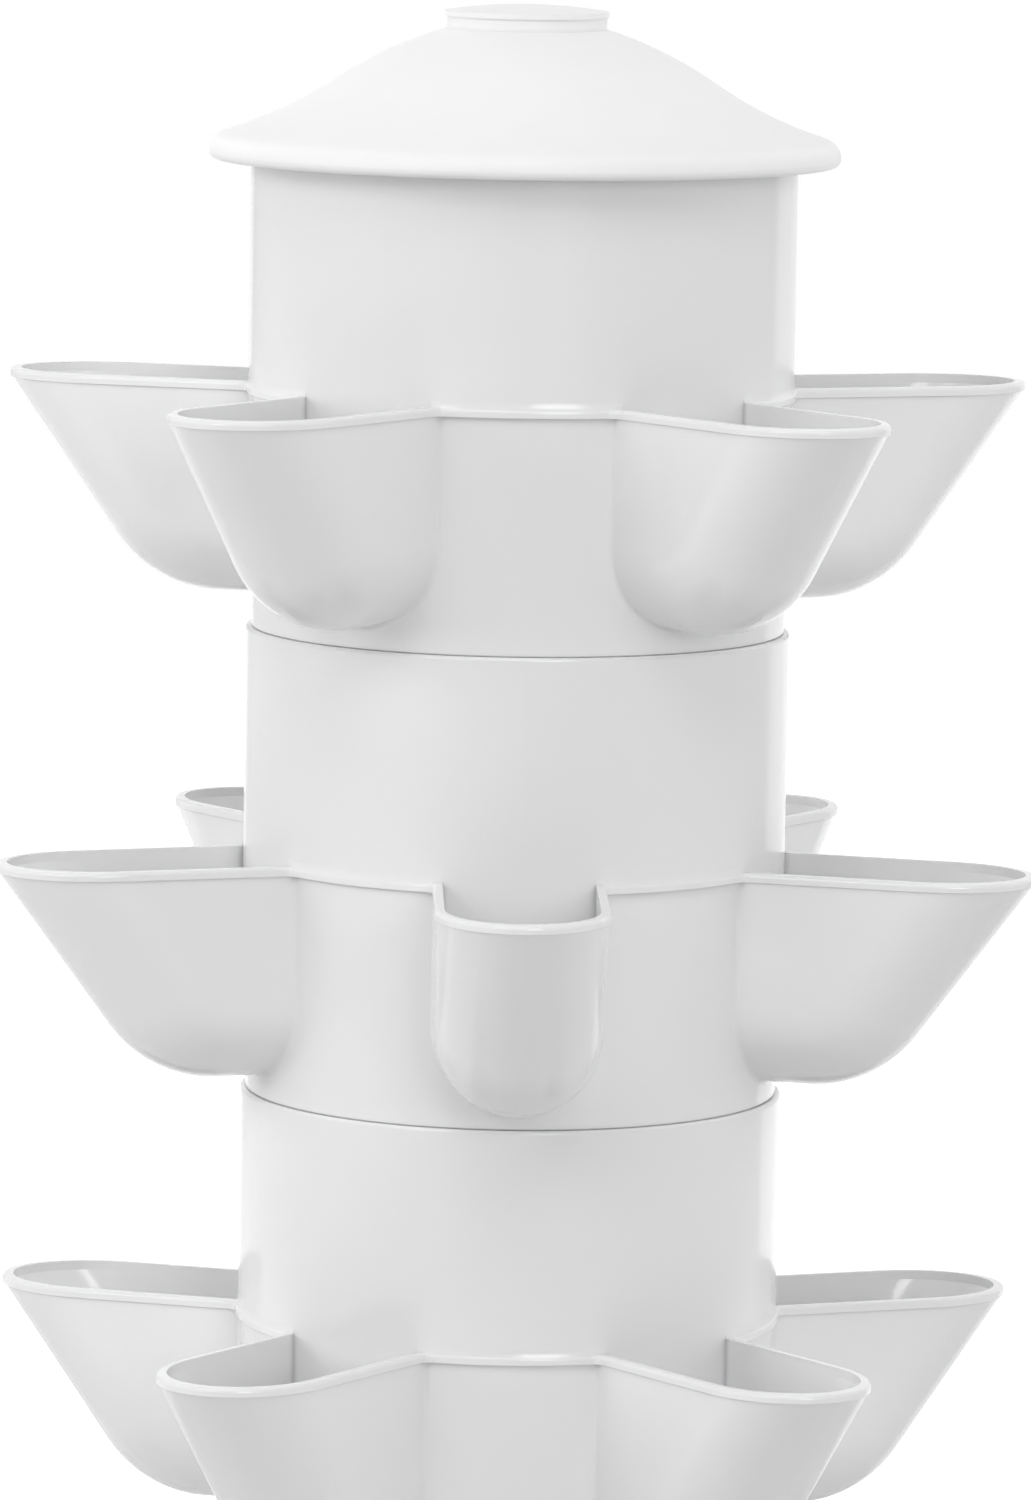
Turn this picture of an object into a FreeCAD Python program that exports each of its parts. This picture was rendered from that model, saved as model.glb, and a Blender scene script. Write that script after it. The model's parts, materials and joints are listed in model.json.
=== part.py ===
# Vertical planter tower: a stack of round tiers, each moulded in one piece with five scoop
# pockets, under a hat-shaped lid, standing on a round water tank that holds the pump.
# Millimetres. +Z is up, the origin is on the floor under the tower's axis, and -Y is the front.
import FreeCAD, Part
import Sketcher
import math
import os
from FreeCAD import Placement, Rotation, Vector

os.makedirs("parts", exist_ok=True)

# Driving sizes: one named cell each, in millimetres, degrees or counts
SIZES = {
    "tier_count": 3,
    "pocket_count": 5,
    # Tier drum, measured from the rim line: the drum stands above it and the skirt hangs below
    "drum_diameter": 200,
    "drum_wall": 3,
    "drum_height": 85.5,
    "drum_edge_round": 1.2,
    "skirt_height": 85.7,
    "skirt_set_back": 1.1,
    "skirt_draft": 0.8,
    "skirt_foot_round": 0.7,
    "nest_depth": 14,
    "nest_gap": 0.3,
    "ledge_width": 3.2,
    # Scoop pocket
    "pocket_reach": 196.6,
    "pocket_width": 60.4,
    "pocket_wall": 2.6,
    "pocket_depth": 77.2,
    "pocket_slant": 36.4,
    "pocket_round": 48,
    "pocket_root_round": 2,
    "window_drop": 22,
    "rim_height": 3.4,
    "rim_overhang": 0.9,
    "rim_flare": 2.2,
    "rim_round": 1.6,
    "rim_under_round": 0.35,
    "rim_corner": 4,
    # Lid and its cap
    "lid_diameter": 231,
    "lid_wall": 2.6,
    "lid_lip": 6.4,
    "lid_edge_round": 3,
    "lid_foot_round": 2,
    "lid_rise": 48.5,
    "lid_brim_slope": 17,
    "neck_diameter": 58.4,
    "neck_rise": 2.4,
    "neck_wall": 2.6,
    "cap_diameter": 59.8,
    "cap_skirt": 2,
    "cap_edge": 2,
    "cap_crown": 2.4,
    "cap_plug": 12,
    "cap_wall": 2,
    # Riser pipe, its inner sleeves and the discs that sit in each drum
    "riser_diameter": 25,
    "riser_wall": 2,
    "riser_gap": 0.4,
    "riser_fit": 0.05,
    "riser_above_disc": 12,
    "sleeve_wall": 1.6,
    "sleeve_length": 40,
    "disc_thickness": 2.5,
    "disc_collar": 8,
    "disc_collar_wall": 2,
    "disc_lip": 4,
    "drip_hole": 6,
    "drip_ring": 150,
    "screen_slot_length": 34,
    "screen_slot_width": 5,
    # Water tank and its deck
    "tank_height": 250,
    "tank_top_diameter": 430,
    "tank_foot_diameter": 392,
    "tank_wall": 3.5,
    "tank_floor": 4,
    "tank_foot_ring": 6,
    "tank_foot_ring_width": 12,
    "tank_rim_width": 9,
    "tank_band_height": 16,
    "tank_band_depth": 3,
    "tank_band_level": 150,
    "deck_thickness": 4,
    "deck_skirt": 18,
    "deck_gap": 0.5,
    "deck_edge_round": 3,
    "deck_ring_inset": 51,
    "collar_height": 46,
    "drain_hole": 14,
    "drain_ring": 120,
    # Fill port at the front of the deck
    "port_diameter": 76,
    "port_wall": 3,
    "port_rise": 9,
    "port_cap_top": 3,
    "port_cap_plug": 12,
    "port_knob_diameter": 26,
    "port_knob_rise": 14,
    # Level float
    "float_angle": 72,
    "float_diameter": 46,
    "float_height": 26,
    "stem_diameter": 6,
    "stem_gap": 0.35,
    "stem_length": 150,
    "bush_diameter": 16,
    "bush_flange": 26,
    "bush_flange_height": 8,
    "bush_flange_thickness": 3,
    "knob_diameter": 14,
    "knob_height": 16,
    # Drain tap at the front foot of the tank
    "tap_level": 46,
    "tap_boss_diameter": 44,
    "tap_boss_reach": 8,
    "tap_thread": 20,
    "tap_bore": 10,
    "tap_seal_thickness": 2.5,
    "tap_flange_diameter": 32,
    "tap_flange_thickness": 4,
    "tap_nut_across": 30,
    "tap_nut_thickness": 8,
    "tap_barrel": 22,
    "tap_barrel_length": 34,
    "tap_spout": 16,
    "tap_spout_drop": 20,
    "tap_plug": 12,
    "tap_plug_gap": 0.3,
    "tap_lever_length": 34,
    "tap_lever_width": 9,
    "tap_lever_thickness": 5,
    # Pump on the tank floor and the cable grommet at the back of the deck
    "pump_width": 56,
    "pump_length": 62,
    "pump_tall": 58,
    "pump_wall": 3,
    "pump_round": 6,
    "pump_foot_height": 6,
    "pump_foot_diameter": 18,
    "pump_outlet": 16,
    "pump_outlet_rise": 26,
    "pump_cover_depth": 12,
    "pump_chamber": 38,
    "pump_chamber_depth": 14,
    "impeller_diameter": 32,
    "impeller_hub": 11,
    "impeller_blades": 6,
    "impeller_blade_thickness": 2,
    "impeller_length": 10,
    "impeller_shaft": 3,
    "impeller_gap": 0.15,
    "grommet_bore": 10,
    "grommet_hole": 22,
    "grommet_flange": 28,
    "grommet_flange_thickness": 2.5,
}

document = FreeCAD.newDocument("planter_tower")
sheet = document.addObject("Spreadsheet::Sheet", "Sizes")
for row, (alias, number) in enumerate(SIZES.items(), start=1):
    sheet.set("A%d" % row, alias)
    sheet.set("B%d" % row, str(number))
    sheet.setAlias("B%d" % row, alias)
document.recompute()


class Size:
    """A length worked out from the sheet: its number, and the same sum as an expression."""

    def __init__(self, number, text):
        self.number = number
        self.text = text

    def joined(self, other, sign, result):
        return Size(result, "(%s %s %s)" % (self.text, sign, as_size(other).text))

    def __add__(self, other):
        return self.joined(other, "+", self.number + as_size(other).number)

    def __sub__(self, other):
        return self.joined(other, "-", self.number - as_size(other).number)

    def __mul__(self, other):
        return self.joined(other, "*", self.number * as_size(other).number)

    def __truediv__(self, other):
        return self.joined(other, "/", self.number / as_size(other).number)

    def __radd__(self, other):
        return as_size(other) + self

    def __rsub__(self, other):
        return as_size(other) - self

    def __rmul__(self, other):
        return as_size(other) * self

    def __neg__(self):
        return as_size(0) - self


def as_size(value):
    if isinstance(value, Size):
        return value
    return Size(float(value), repr(float(value)))


def cell(alias):
    return Size(float(getattr(sheet, alias)), "Sizes." + alias)


def tangent(angle):
    return Size(math.tan(math.radians(angle.number)), "tan(%s * 1 deg)" % angle.text)


def cosine(angle):
    return Size(math.cos(math.radians(angle.number)), "cos(%s * 1 deg)" % angle.text)


def sine(angle):
    return Size(math.sin(math.radians(angle.number)), "sin(%s * 1 deg)" % angle.text)


def smaller(first, second):
    number = min(first.number, as_size(second).number)
    return Size(number, "min(%s; %s)" % (first.text, as_size(second).text))


# Levels and radii that several pieces share
drum_radius = cell("drum_diameter") / 2
drum_bore = drum_radius - cell("drum_wall")
skirt_top_radius = drum_radius - cell("skirt_set_back")
skirt_foot_radius = skirt_top_radius - cell("skirt_draft")
nest_radius = drum_bore - cell("nest_gap")
nest_bore = nest_radius - cell("drum_wall")
ledge_bore = drum_bore - cell("ledge_width")
tier_pitch = cell("drum_height") + cell("skirt_height")
deck_top = cell("tank_height") + cell("deck_thickness")
deck_ring = cell("tank_top_diameter") / 2 - cell("deck_ring_inset")
first_joint = deck_top + cell("collar_height")
tower_top = first_joint + tier_pitch * cell("tier_count")
disc_radius = drum_bore - cell("nest_gap")
ledge_drop = cell("nest_depth") + cell("nest_gap") + cell("disc_lip") + cell("disc_thickness")


# Helpers for sketches and features
def origin_plane(body, role):
    for feature in body.Origin.OriginFeatures:
        if feature.Role == role:
            return feature


def new_body(label):
    body = document.addObject("PartDesign::Body", label)
    body.Label = label
    return body


def new_sketch(body, name, role="XY_Plane", level=None):
    sketch = body.newObject("Sketcher::SketchObject", name)
    sketch.AttachmentSupport = [(origin_plane(body, role), "")]
    sketch.MapMode = "FlatFace"
    if level is not None:
        sketch.setExpression("AttachmentOffset.Base.z", level.text)
    return sketch


def pin_point(sketch, geometry, end, across, up):
    """Hold one end of a sketch edge at (across, up), each bound to its sheet expression."""
    for kind, axis, size in (("DistanceX", -2, across), ("DistanceY", -1, up)):
        if abs(size.number) < 1e-9:
            sketch.addConstraint(Sketcher.Constraint("PointOnObject", geometry, end, axis))
            continue
        index = sketch.addConstraint(Sketcher.Constraint(kind, -1, 1, geometry, end, size.number))
        sketch.setExpression("Constraints[%d]" % index, size.text)


def arc_between(start, finish, radius, left):
    """The arc from start to finish with its centre on the left or right of the way there."""
    chord = finish - start
    middle = (start + finish) / 2
    height = math.sqrt(max(radius ** 2 - (chord.Length / 2) ** 2, 0))
    side = Vector(-chord.y, chord.x, 0).normalize()
    centre = middle + side * (height if left else -height)
    circle = Part.Circle(centre, Vector(0, 0, 1), radius)
    first, last = (start, finish) if left else (finish, start)
    return Part.ArcOfCircle(circle, circle.parameter(first), circle.parameter(last))


def outline(sketch, corners):
    """Draw a closed outline. A corner is (across, up) or (across, up, radius, side), where
    the radius bends the edge that runs on from that corner to the next one."""
    corners = [tuple(as_size(v) if i < 3 else v for i, v in enumerate(c)) for c in corners]
    points = [Vector(corner[0].number, corner[1].number, 0) for corner in corners]
    for index, corner in enumerate(corners):
        start = points[index]
        finish = points[(index + 1) % len(points)]
        ends = (1, 2)
        if len(corner) == 2:
            edge = sketch.addGeometry(Part.LineSegment(start, finish))
        else:
            left = corner[3] == "left"
            edge = sketch.addGeometry(arc_between(start, finish, corner[2].number, left))
            if not left:
                ends = (2, 1)
            held = sketch.addConstraint(Sketcher.Constraint("Radius", edge, corner[2].number))
            sketch.setExpression("Constraints[%d]" % held, corner[2].text)
        if index > 0:
            join = Sketcher.Constraint("Coincident", edge, ends[0], edge - 1, last_end)
            sketch.addConstraint(join)
        else:
            first = (edge, ends[0])
        last_end = ends[1]
        pin_point(sketch, edge, ends[0], corner[0], corner[1])
    sketch.addConstraint(Sketcher.Constraint("Coincident", edge, last_end, *first))


def circle(sketch, across, up, radius):
    across, up, radius = as_size(across), as_size(up), as_size(radius)
    ring = Part.Circle(Vector(across.number, up.number, 0), Vector(0, 0, 1), radius.number)
    edge = sketch.addGeometry(ring)
    pin_point(sketch, edge, 3, across, up)
    index = sketch.addConstraint(Sketcher.Constraint("Radius", edge, radius.number))
    sketch.setExpression("Constraints[%d]" % index, radius.text)


def rectangle(sketch, left, bottom, right, top):
    outline(sketch, [(left, bottom), (right, bottom), (right, top), (left, top)])


def turned(label, corners, name="turned_profile"):
    """A body of revolution about Z from a half section drawn as (radius, height)."""
    body = new_body(label)
    sketch = new_sketch(body, name, "XZ_Plane")
    outline(sketch, corners)
    revolution = body.newObject("PartDesign::Revolution", name + "_turn")
    revolution.Profile = sketch
    revolution.ReferenceAxis = (sketch, ["V_Axis"])
    revolution.Angle = 360
    body.Tip = revolution
    return body


def pad(body, sketch, length, downward=False, midplane=False):
    feature = body.newObject("PartDesign::Pad", sketch.Name + "_pad")
    feature.Profile = sketch
    feature.setExpression("Length", as_size(length).text)
    feature.Reversed = downward
    feature.Midplane = midplane
    body.Tip = feature
    return feature


def cut_through(body, sketch, upward=True):
    """Cut the sketch all the way through, away from its plane."""
    document.recompute()
    before = body.Shape.Volume
    feature = body.newObject("PartDesign::Pocket", sketch.Name + "_cut")
    feature.Profile = sketch
    feature.Type = 1
    feature.Reversed = upward
    body.Tip = feature
    document.recompute()
    if body.Shape.Volume > before - 1:
        raise ValueError("%s cut nothing" % sketch.Name)
    return feature


def cut_depth(body, sketch, depth, upward=False):
    document.recompute()
    before = body.Shape.Volume
    feature = body.newObject("PartDesign::Pocket", sketch.Name + "_cut")
    feature.Profile = sketch
    feature.setExpression("Length", as_size(depth).text)
    feature.Reversed = upward
    body.Tip = feature
    document.recompute()
    if body.Shape.Volume > before - 1:
        raise ValueError("%s cut nothing" % sketch.Name)
    return feature


def around(body, feature, count):
    """Repeat a feature evenly round the body's own Z axis."""
    pattern = body.newObject("PartDesign::PolarPattern", feature.Name + "_ring")
    pattern.Originals = [feature]
    pattern.Axis = (origin_plane(body, "Z_Axis"), [""])
    pattern.Angle = 360
    pattern.setExpression("Occurrences", as_size(count).text)
    body.Tip = pattern
    document.recompute()
    return pattern


def round_edges(body, radius, chosen):
    """Fillet every edge of the body for which chosen(edge) is true."""
    document.recompute()
    base = body.Tip
    names = [
        "Edge%d" % (index + 1)
        for index, edge in enumerate(base.Shape.Edges)
        if chosen(edge)
    ]
    fillet = body.newObject("PartDesign::Fillet", body.Name + "_round")
    fillet.Base = (base, names)
    fillet.setExpression("Radius", as_size(radius).text)
    body.Tip = fillet
    document.recompute()
    return fillet


def ring_edge(edge, radius, height):
    """True for a full circle of this radius about Z at this height."""
    if not isinstance(edge.Curve, Part.Circle):
        return False
    flat = abs(abs(edge.Curve.Axis.z) - 1) < 1e-6
    centred = math.hypot(edge.Curve.Center.x, edge.Curve.Center.y) < 1e-6
    same = abs(edge.Curve.Radius - radius.number) < 1e-3
    return flat and centred and same and abs(edge.Curve.Center.z - height.number) < 1e-3


def place(piece, across=0, depth=0, level=0):
    for axis, size in (("x", across), ("y", depth), ("z", level)):
        piece.setExpression("Placement.Base." + axis, as_size(size).text)
    return piece


def around_axis(distance, degrees_from_front):
    """Plan position at a distance from the axis, the angle counted from the front."""
    turn = as_size(degrees_from_front)
    return distance * sine(turn), -(distance * cosine(turn))


# Tier: drum, skirt and nesting foot
def drum_outside():
    """The drum as a filled solid, with the rim line at height 0."""
    foot = -cell("skirt_height") - cell("nest_depth")
    foot_round = cell("skirt_foot_round")
    body = turned("drum_outside", [
        (0, foot),
        (nest_radius - cell("nest_gap"), foot),
        (nest_radius, -cell("skirt_height")),
        (skirt_foot_radius - foot_round, -cell("skirt_height"), foot_round, "left"),
        (skirt_foot_radius, foot_round - cell("skirt_height")),
        (skirt_top_radius, 0),
        (drum_radius, 0),
        (drum_radius, cell("drum_height")),
        (0, cell("drum_height")),
    ])
    round_edges(
        body, cell("drum_edge_round"),
        lambda edge: ring_edge(edge, drum_radius, cell("drum_height")),
    )
    return body


def ledge_corners(ledge_top):
    """The disc's ledge inside a drum, from the drum's top edge down, as (radius, height)."""
    return [
        (drum_bore, ledge_top),
        (ledge_bore, ledge_top),
        (ledge_bore, ledge_top - cell("disc_thickness")),
        (drum_bore, ledge_top - cell("disc_thickness") - cell("ledge_width")),
    ]


def drum_hollow():
    """What the drum holds inside, as a filled solid to cut away."""
    below = -cell("skirt_height") - cell("nest_depth") - 1
    above = cell("drum_height") + 1
    ledge = ledge_corners(cell("drum_height") - ledge_drop)
    return turned("drum_hollow", [
        (0, below),
        (nest_bore, below),
        (nest_bore, -cell("skirt_height")),
        (skirt_foot_radius - cell("drum_wall"), -cell("skirt_height") + cell("drum_wall")),
        (skirt_top_radius - cell("drum_wall"), 0),
        (drum_bore, cell("rim_height")),
        *reversed(ledge),
        (drum_bore, above),
        (0, above),
    ])


# Tier: one scoop pocket, drawn along +X from the tower's axis
def scoop_round():
    """Radius of the pocket's lower edges, all but a half circle of its width."""
    return cell("pocket_width") / 2 - 0.4


def scoop(label, inset):
    """The pocket's form, moved in from its outer face by inset: a straight-sided trough
    whose front slants in, with both lower edges rounded to a half circle."""
    slant = cell("pocket_slant")
    tip = cell("pocket_reach") - inset / cosine(slant)
    bottom = inset - cell("pocket_depth")
    bend = cell("pocket_round") - inset
    corner = tip + bottom * tangent(slant)
    run = bend * tangent(as_size(45) - slant / 2)
    start = drum_bore * 0.85
    width = cell("pocket_width") - inset * 2
    body = new_body(label)
    sketch = new_sketch(body, "scoop_side", "XZ_Plane")
    outline(sketch, [
        (start, 0),
        (start, bottom),
        (corner - run, bottom, bend, "left"),
        (corner + run * sine(slant), bottom + run * cosine(slant)),
        (tip, 0),
    ])
    pad(body, sketch, width, midplane=True)

    def lower_edge(edge):
        ends = [vertex.Point for vertex in edge.Vertexes]
        beside = all(abs(abs(point.y) - width.number / 2) < 1e-3 for point in ends)
        along = abs(ends[0].y - ends[-1].y) < 1e-3
        inner = all(point.x < start.number + 1e-3 for point in ends)
        top = all(point.z > -1e-3 for point in ends)
        return beside and along and not inner and not top

    round_edges(body, scoop_round() - inset, lower_edge)
    return body


def top_face(shape, level=0.0):
    for face in shape.Faces:
        flat = isinstance(face.Surface, Part.Plane)
        if flat and abs(face.CenterOfMass.z - level) < 1e-6 and abs(face.BoundBox.ZLength) < 1e-6:
            return face


def pocket_turns():
    count = int(cell("pocket_count").number)
    return [360.0 * index / count for index in range(count)]


def ring_of(shape):
    copies = []
    for turn in pocket_turns():
        copy = shape.copy()
        copy.rotate(Vector(0, 0, 0), Vector(0, 0, 1), turn)
        copies.append(copy)
    return copies


def rim_outline():
    """Plan outline of the rim: half ellipses and straight sides round the pockets, joined by
    small corner arcs to the arcs that follow the drum between them."""
    overhang = cell("rim_overhang").number
    corner = cell("rim_corner").number
    half = (cell("pocket_width") / 2).number + overhang
    length = (scoop_round() / cosine(cell("pocket_slant"))).number + overhang
    centre = cell("pocket_reach").number + overhang - length
    around_drum = drum_radius.number + overhang
    bend = Vector(math.sqrt((around_drum + corner) ** 2 - (half + corner) ** 2), half + corner, 0)
    on_drum = bend * (around_drum / (around_drum + corner))
    on_side = Vector(bend.x, half, 0)
    between = bend + (Vector(bend.x, half, 0) + on_drum - bend * 2).normalize() * corner
    side_end = Vector(centre, half, 0)
    ellipse = Part.Ellipse(Vector(centre + length, 0, 0), side_end, Vector(centre, 0, 0))
    end = Part.ArcOfEllipse(ellipse, -math.pi / 2, math.pi / 2).toShape()
    mirrored = [Vector(point.x, -point.y, 0) for point in (on_drum, between, on_side, side_end)]
    turns = pocket_turns()
    half_gap = math.radians(turns[1] / 2)
    next_drum = Vector(
        on_drum.x * math.cos(2 * half_gap) + on_drum.y * math.sin(2 * half_gap),
        on_drum.x * math.sin(2 * half_gap) - on_drum.y * math.cos(2 * half_gap),
        0,
    )
    midway = Vector(math.cos(half_gap), math.sin(half_gap), 0) * around_drum
    edges = [
        Part.Arc(mirrored[0], mirrored[1], mirrored[2]).toShape(),
        Part.LineSegment(mirrored[2], mirrored[3]).toShape(),
        end,
        Part.LineSegment(side_end, on_side).toShape(),
        Part.Arc(on_side, between, on_drum).toShape(),
        Part.Arc(on_drum, midway, next_drum).toShape(),
    ]
    every_edge = []
    for turn in turns:
        for edge in edges:
            copy = edge.copy()
            copy.rotate(Vector(0, 0, 0), Vector(0, 0, 1), turn)
            every_edge.append(copy)
    return Part.Wire(Part.__sortEdges__(every_edge))


def rim_flare():
    """The hollow curve by which the drum's wall runs out onto the middle of the rim's round."""
    wall = drum_radius.number
    inner = drum_bore.number
    half_round = cell("rim_round").number * (1 - math.sqrt(0.5))
    low = cell("rim_height").number - half_round
    top = cell("rim_height").number + cell("rim_flare").number
    spread = cell("rim_overhang").number - half_round
    radius = (spread ** 2 + (top - low) ** 2) / (2 * spread)
    half_turn = math.atan2(spread, top - low)
    foot, head = Vector(wall + spread, 0, low), Vector(wall, 0, top)
    dip = head + Vector(1 - math.cos(half_turn), 0, -math.sin(half_turn)) * radius
    section = Part.Wire([
        Part.LineSegment(Vector(inner, 0, low), foot).toShape(),
        Part.Arc(foot, dip, head).toShape(),
        Part.LineSegment(head, Vector(inner, 0, top)).toShape(),
        Part.LineSegment(Vector(inner, 0, top), Vector(inner, 0, low)).toShape(),
    ])
    return Part.Face(section).revolve(Vector(0, 0, 0), Vector(0, 0, 1), 360)


def rim_shape(inner_scoop):
    """The rounded rim that runs round every pocket mouth and along the drum between them."""
    height = cell("rim_height").number
    top = height + cell("rim_flare").number
    rim = Part.Face(rim_outline()).extrude(Vector(0, 0, height))
    flat_edges = [edge for edge in rim.Edges if edge.BoundBox.ZLength < 1e-6]
    upper = [edge for edge in flat_edges if edge.CenterOfMass.z > height / 2]
    rim = rim.makeFillet(cell("rim_round").number, upper)
    flat_edges = [edge for edge in rim.Edges if edge.BoundBox.ZMax < 1e-6]
    rim = rim.makeFillet(cell("rim_under_round").number, flat_edges)
    rim = rim.fuse(rim_flare())
    drum = Part.makeCylinder(drum_radius.number, top)
    mouths = [face.extrude(Vector(0, 0, top)) for face in ring_of(top_face(inner_scoop))]
    rim = rim.cut(Part.makeCompound([mouth.cut(drum) for mouth in mouths]))
    return rim.cut(Part.makeCylinder(drum_bore.number, top))


def soften_roots(shape):
    """Fillet the lines along which the pockets' outer walls grow out of the skirt."""
    roots = []
    for edge in shape.Edges:
        middle = edge.valueAt((edge.FirstParameter + edge.LastParameter) / 2)
        radius = math.hypot(middle.x, middle.y)
        on_skirt = skirt_foot_radius.number < radius < skirt_top_radius.number
        rises = edge.BoundBox.ZLength > cell("skirt_foot_round").number
        if on_skirt and rises and len(shape.ancestorsOfType(edge, Part.Face)) == 2:
            roots.append(edge)
    return shape.makeFillet(cell("pocket_root_round").number, roots)


def tier_shape():
    """One moulded tier with its rim line at height 0 and its first pocket along +X."""
    outer_scoop = scoop("scoop_outside", as_size(0)).Shape
    inner_scoop = scoop("scoop_inside", cell("pocket_wall")).Shape
    outside = drum_outside()
    hollow = drum_hollow()
    document.recompute()
    window = -cell("window_drop").number
    behind = Part.makeCylinder(
        drum_radius.number, cell("drum_height").number - window, Vector(0, 0, window)
    )
    hollows = ring_of(inner_scoop.cut(behind))
    walls = outside.Shape.multiFuse(ring_of(outer_scoop))
    walls = walls.cut(hollow.Shape).cut(Part.makeCompound(hollows))
    return soften_roots(walls.fuse(rim_shape(inner_scoop)).removeSplitter())


def joint_level(tier):
    """Height of the joint under a tier, counted from 0 at the bottom."""
    return first_joint + tier_pitch * tier


def make_tiers():
    shape = tier_shape()
    tiers = []
    count = int(cell("tier_count").number)
    for tier in range(count):
        piece = document.addObject("Part::Feature", "tier_%d" % (tier + 1))
        piece.Shape = shape
        turn = 90 if (count - 1 - tier) % 2 == 0 else -90
        level = joint_level(tier) + cell("skirt_height")
        piece.Placement = Placement(Vector(0, 0, level.number), Rotation(Vector(0, 0, 1), turn))
        place(piece, level=level)
        tiers.append(piece)
    return tiers


# Lid: one moulding with an S-curved top, a hanging lip and a spigot that drops in the drum.
# The S is two arcs of one radius, which leave the brim and reach the neck at the brim's slope.
def make_lid():
    lip = cell("lid_diameter") / 2
    wall = cell("lid_wall")
    neck = cell("neck_diameter") / 2
    brim = cell("lid_brim_slope")
    edge_round = cell("lid_edge_round")
    foot_round = cell("lid_foot_round")
    shoulder = lip - edge_round * (1 - sine(brim))
    shoulder_rise = cell("lid_lip") + edge_round * cosine(brim)
    rise = cell("lid_rise")
    run, climb = shoulder - neck, rise - shoulder_rise
    curve = (run * run + climb * climb) / (climb * cosine(brim) - run * sine(brim)) / 4
    middle = (shoulder + neck) / 2
    middle_rise = (shoulder_rise + rise) / 2
    neck_bore = neck - cell("neck_wall")
    spigot_bore = nest_radius - cell("drum_wall")

    def within_shell(radius):
        return shoulder_rise + (shoulder - radius) * climb / run - wall

    body = turned("lid", [
        (lip - wall, 0),
        (lip - foot_round, 0, foot_round, "left"),
        (lip, foot_round),
        (lip, cell("lid_lip"), edge_round, "left"),
        (shoulder, shoulder_rise, curve, "right"),
        (middle, middle_rise, curve, "left"),
        (neck, rise),
        (neck, rise + cell("neck_rise")),
        (neck_bore, rise + cell("neck_rise")),
        (neck_bore, rise - wall),
        (neck, rise - wall, curve, "right"),
        (middle, middle_rise - wall, curve, "left"),
        (shoulder - wall, shoulder_rise - wall),
        (lip - wall, cell("lid_lip") - wall / 2),
    ])
    ring = new_sketch(body, "spigot_ring", "XZ_Plane")
    outline(ring, [
        (spigot_bore, -cell("nest_depth") + 2),
        (nest_radius - cell("nest_gap"), -cell("nest_depth") + 2),
        (nest_radius, 0),
        (drum_radius, 0),
        (drum_radius, within_shell(drum_radius)),
        (spigot_bore, within_shell(spigot_bore)),
    ])
    revolution = body.newObject("PartDesign::Revolution", "spigot_ring_turn")
    revolution.Profile = ring
    revolution.ReferenceAxis = (ring, ["V_Axis"])
    revolution.Angle = 360
    body.Tip = revolution
    return place(body, level=tower_top)


def make_lid_cap():
    radius = cell("cap_diameter") / 2
    neck = cell("neck_diameter") / 2
    plug = neck - cell("neck_wall") - cell("nest_gap")
    skirt = cell("cap_skirt")
    edge = skirt + cell("cap_edge")
    crown = cell("cap_crown")
    dome = (radius * radius / crown + crown) / 2
    body = turned("lid_cap", [
        (plug - cell("cap_wall"), -cell("cap_plug")),
        (plug, -cell("cap_plug")),
        (plug, 0),
        (neck, 0),
        (neck, skirt),
        (radius, skirt),
        (radius, edge, dome, "left"),
        (0, edge + crown),
        (0, edge - cell("cap_wall") / 2),
        (plug - cell("cap_wall"), edge - cell("cap_wall") / 2),
    ])
    return place(body, level=tower_top + cell("lid_rise") + cell("neck_rise"))


# Discs that sit on the ledges inside the drums
def disc_blank(label, gap):
    """A plain disc with a lip at its edge and a collar that leaves a gap round the riser."""
    disc_bore = cell("riser_diameter") / 2 + gap
    collar = disc_bore + cell("disc_collar_wall")
    thick = cell("disc_thickness")
    return turned(label, [
        (disc_bore, 0),
        (disc_radius, 0),
        (disc_radius, cell("disc_lip") + thick),
        (disc_radius - cell("disc_collar_wall"), cell("disc_lip") + thick),
        (disc_radius - cell("disc_collar_wall"), thick),
        (collar, thick),
        (collar, cell("disc_collar")),
        (disc_bore, cell("disc_collar")),
    ])


def make_drip_disc(label, joint):
    """A disc whose two rings of holes spread the water over the pockets below."""
    body = disc_blank(label, cell("riser_fit"))
    for name, ring in (("outer_hole", cell("drip_ring")), ("inner_hole", cell("drip_ring") * 0.6)):
        sketch = new_sketch(body, name)
        circle(sketch, ring / 2, 0, cell("drip_hole") / 2)
        around(body, cut_through(body, sketch), cell("pocket_count"))
    return place(body, level=joint - ledge_drop)


def make_root_screen():
    """A slotted disc in the deck's collar that keeps roots out of the tank."""
    body = disc_blank("root_screen", cell("riser_gap"))
    sketch = new_sketch(body, "slot")
    middle = cell("drip_ring") / 2 - cell("screen_slot_length") / 4
    half_length = cell("screen_slot_length") / 2
    half_width = cell("screen_slot_width") / 2
    rectangle(sketch, middle - half_length, -half_width, middle + half_length, half_width)
    around(body, cut_through(body, sketch), cell("pocket_count") * 2)
    return place(body, level=first_joint - ledge_drop)


# Riser pipe: one length in the tank and one for each tier, joined by inner sleeves
pump_base = cell("tank_foot_ring") + cell("tank_floor") + cell("pump_foot_height")
pump_top = pump_base + cell("pump_tall")
riser_radius = cell("riser_diameter") / 2
riser_bore = riser_radius - cell("riser_wall")
sleeve_radius = riser_bore - 0.1
sleeve_bore = sleeve_radius - cell("sleeve_wall")
riser_top = tower_top - ledge_drop + cell("disc_thickness") + cell("riser_above_disc")


def tube(label, outer, inner, length):
    body = new_body(label)
    sketch = new_sketch(body, "tube_section")
    circle(sketch, 0, 0, outer)
    circle(sketch, 0, 0, inner)
    pad(body, sketch, length)
    return body


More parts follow.
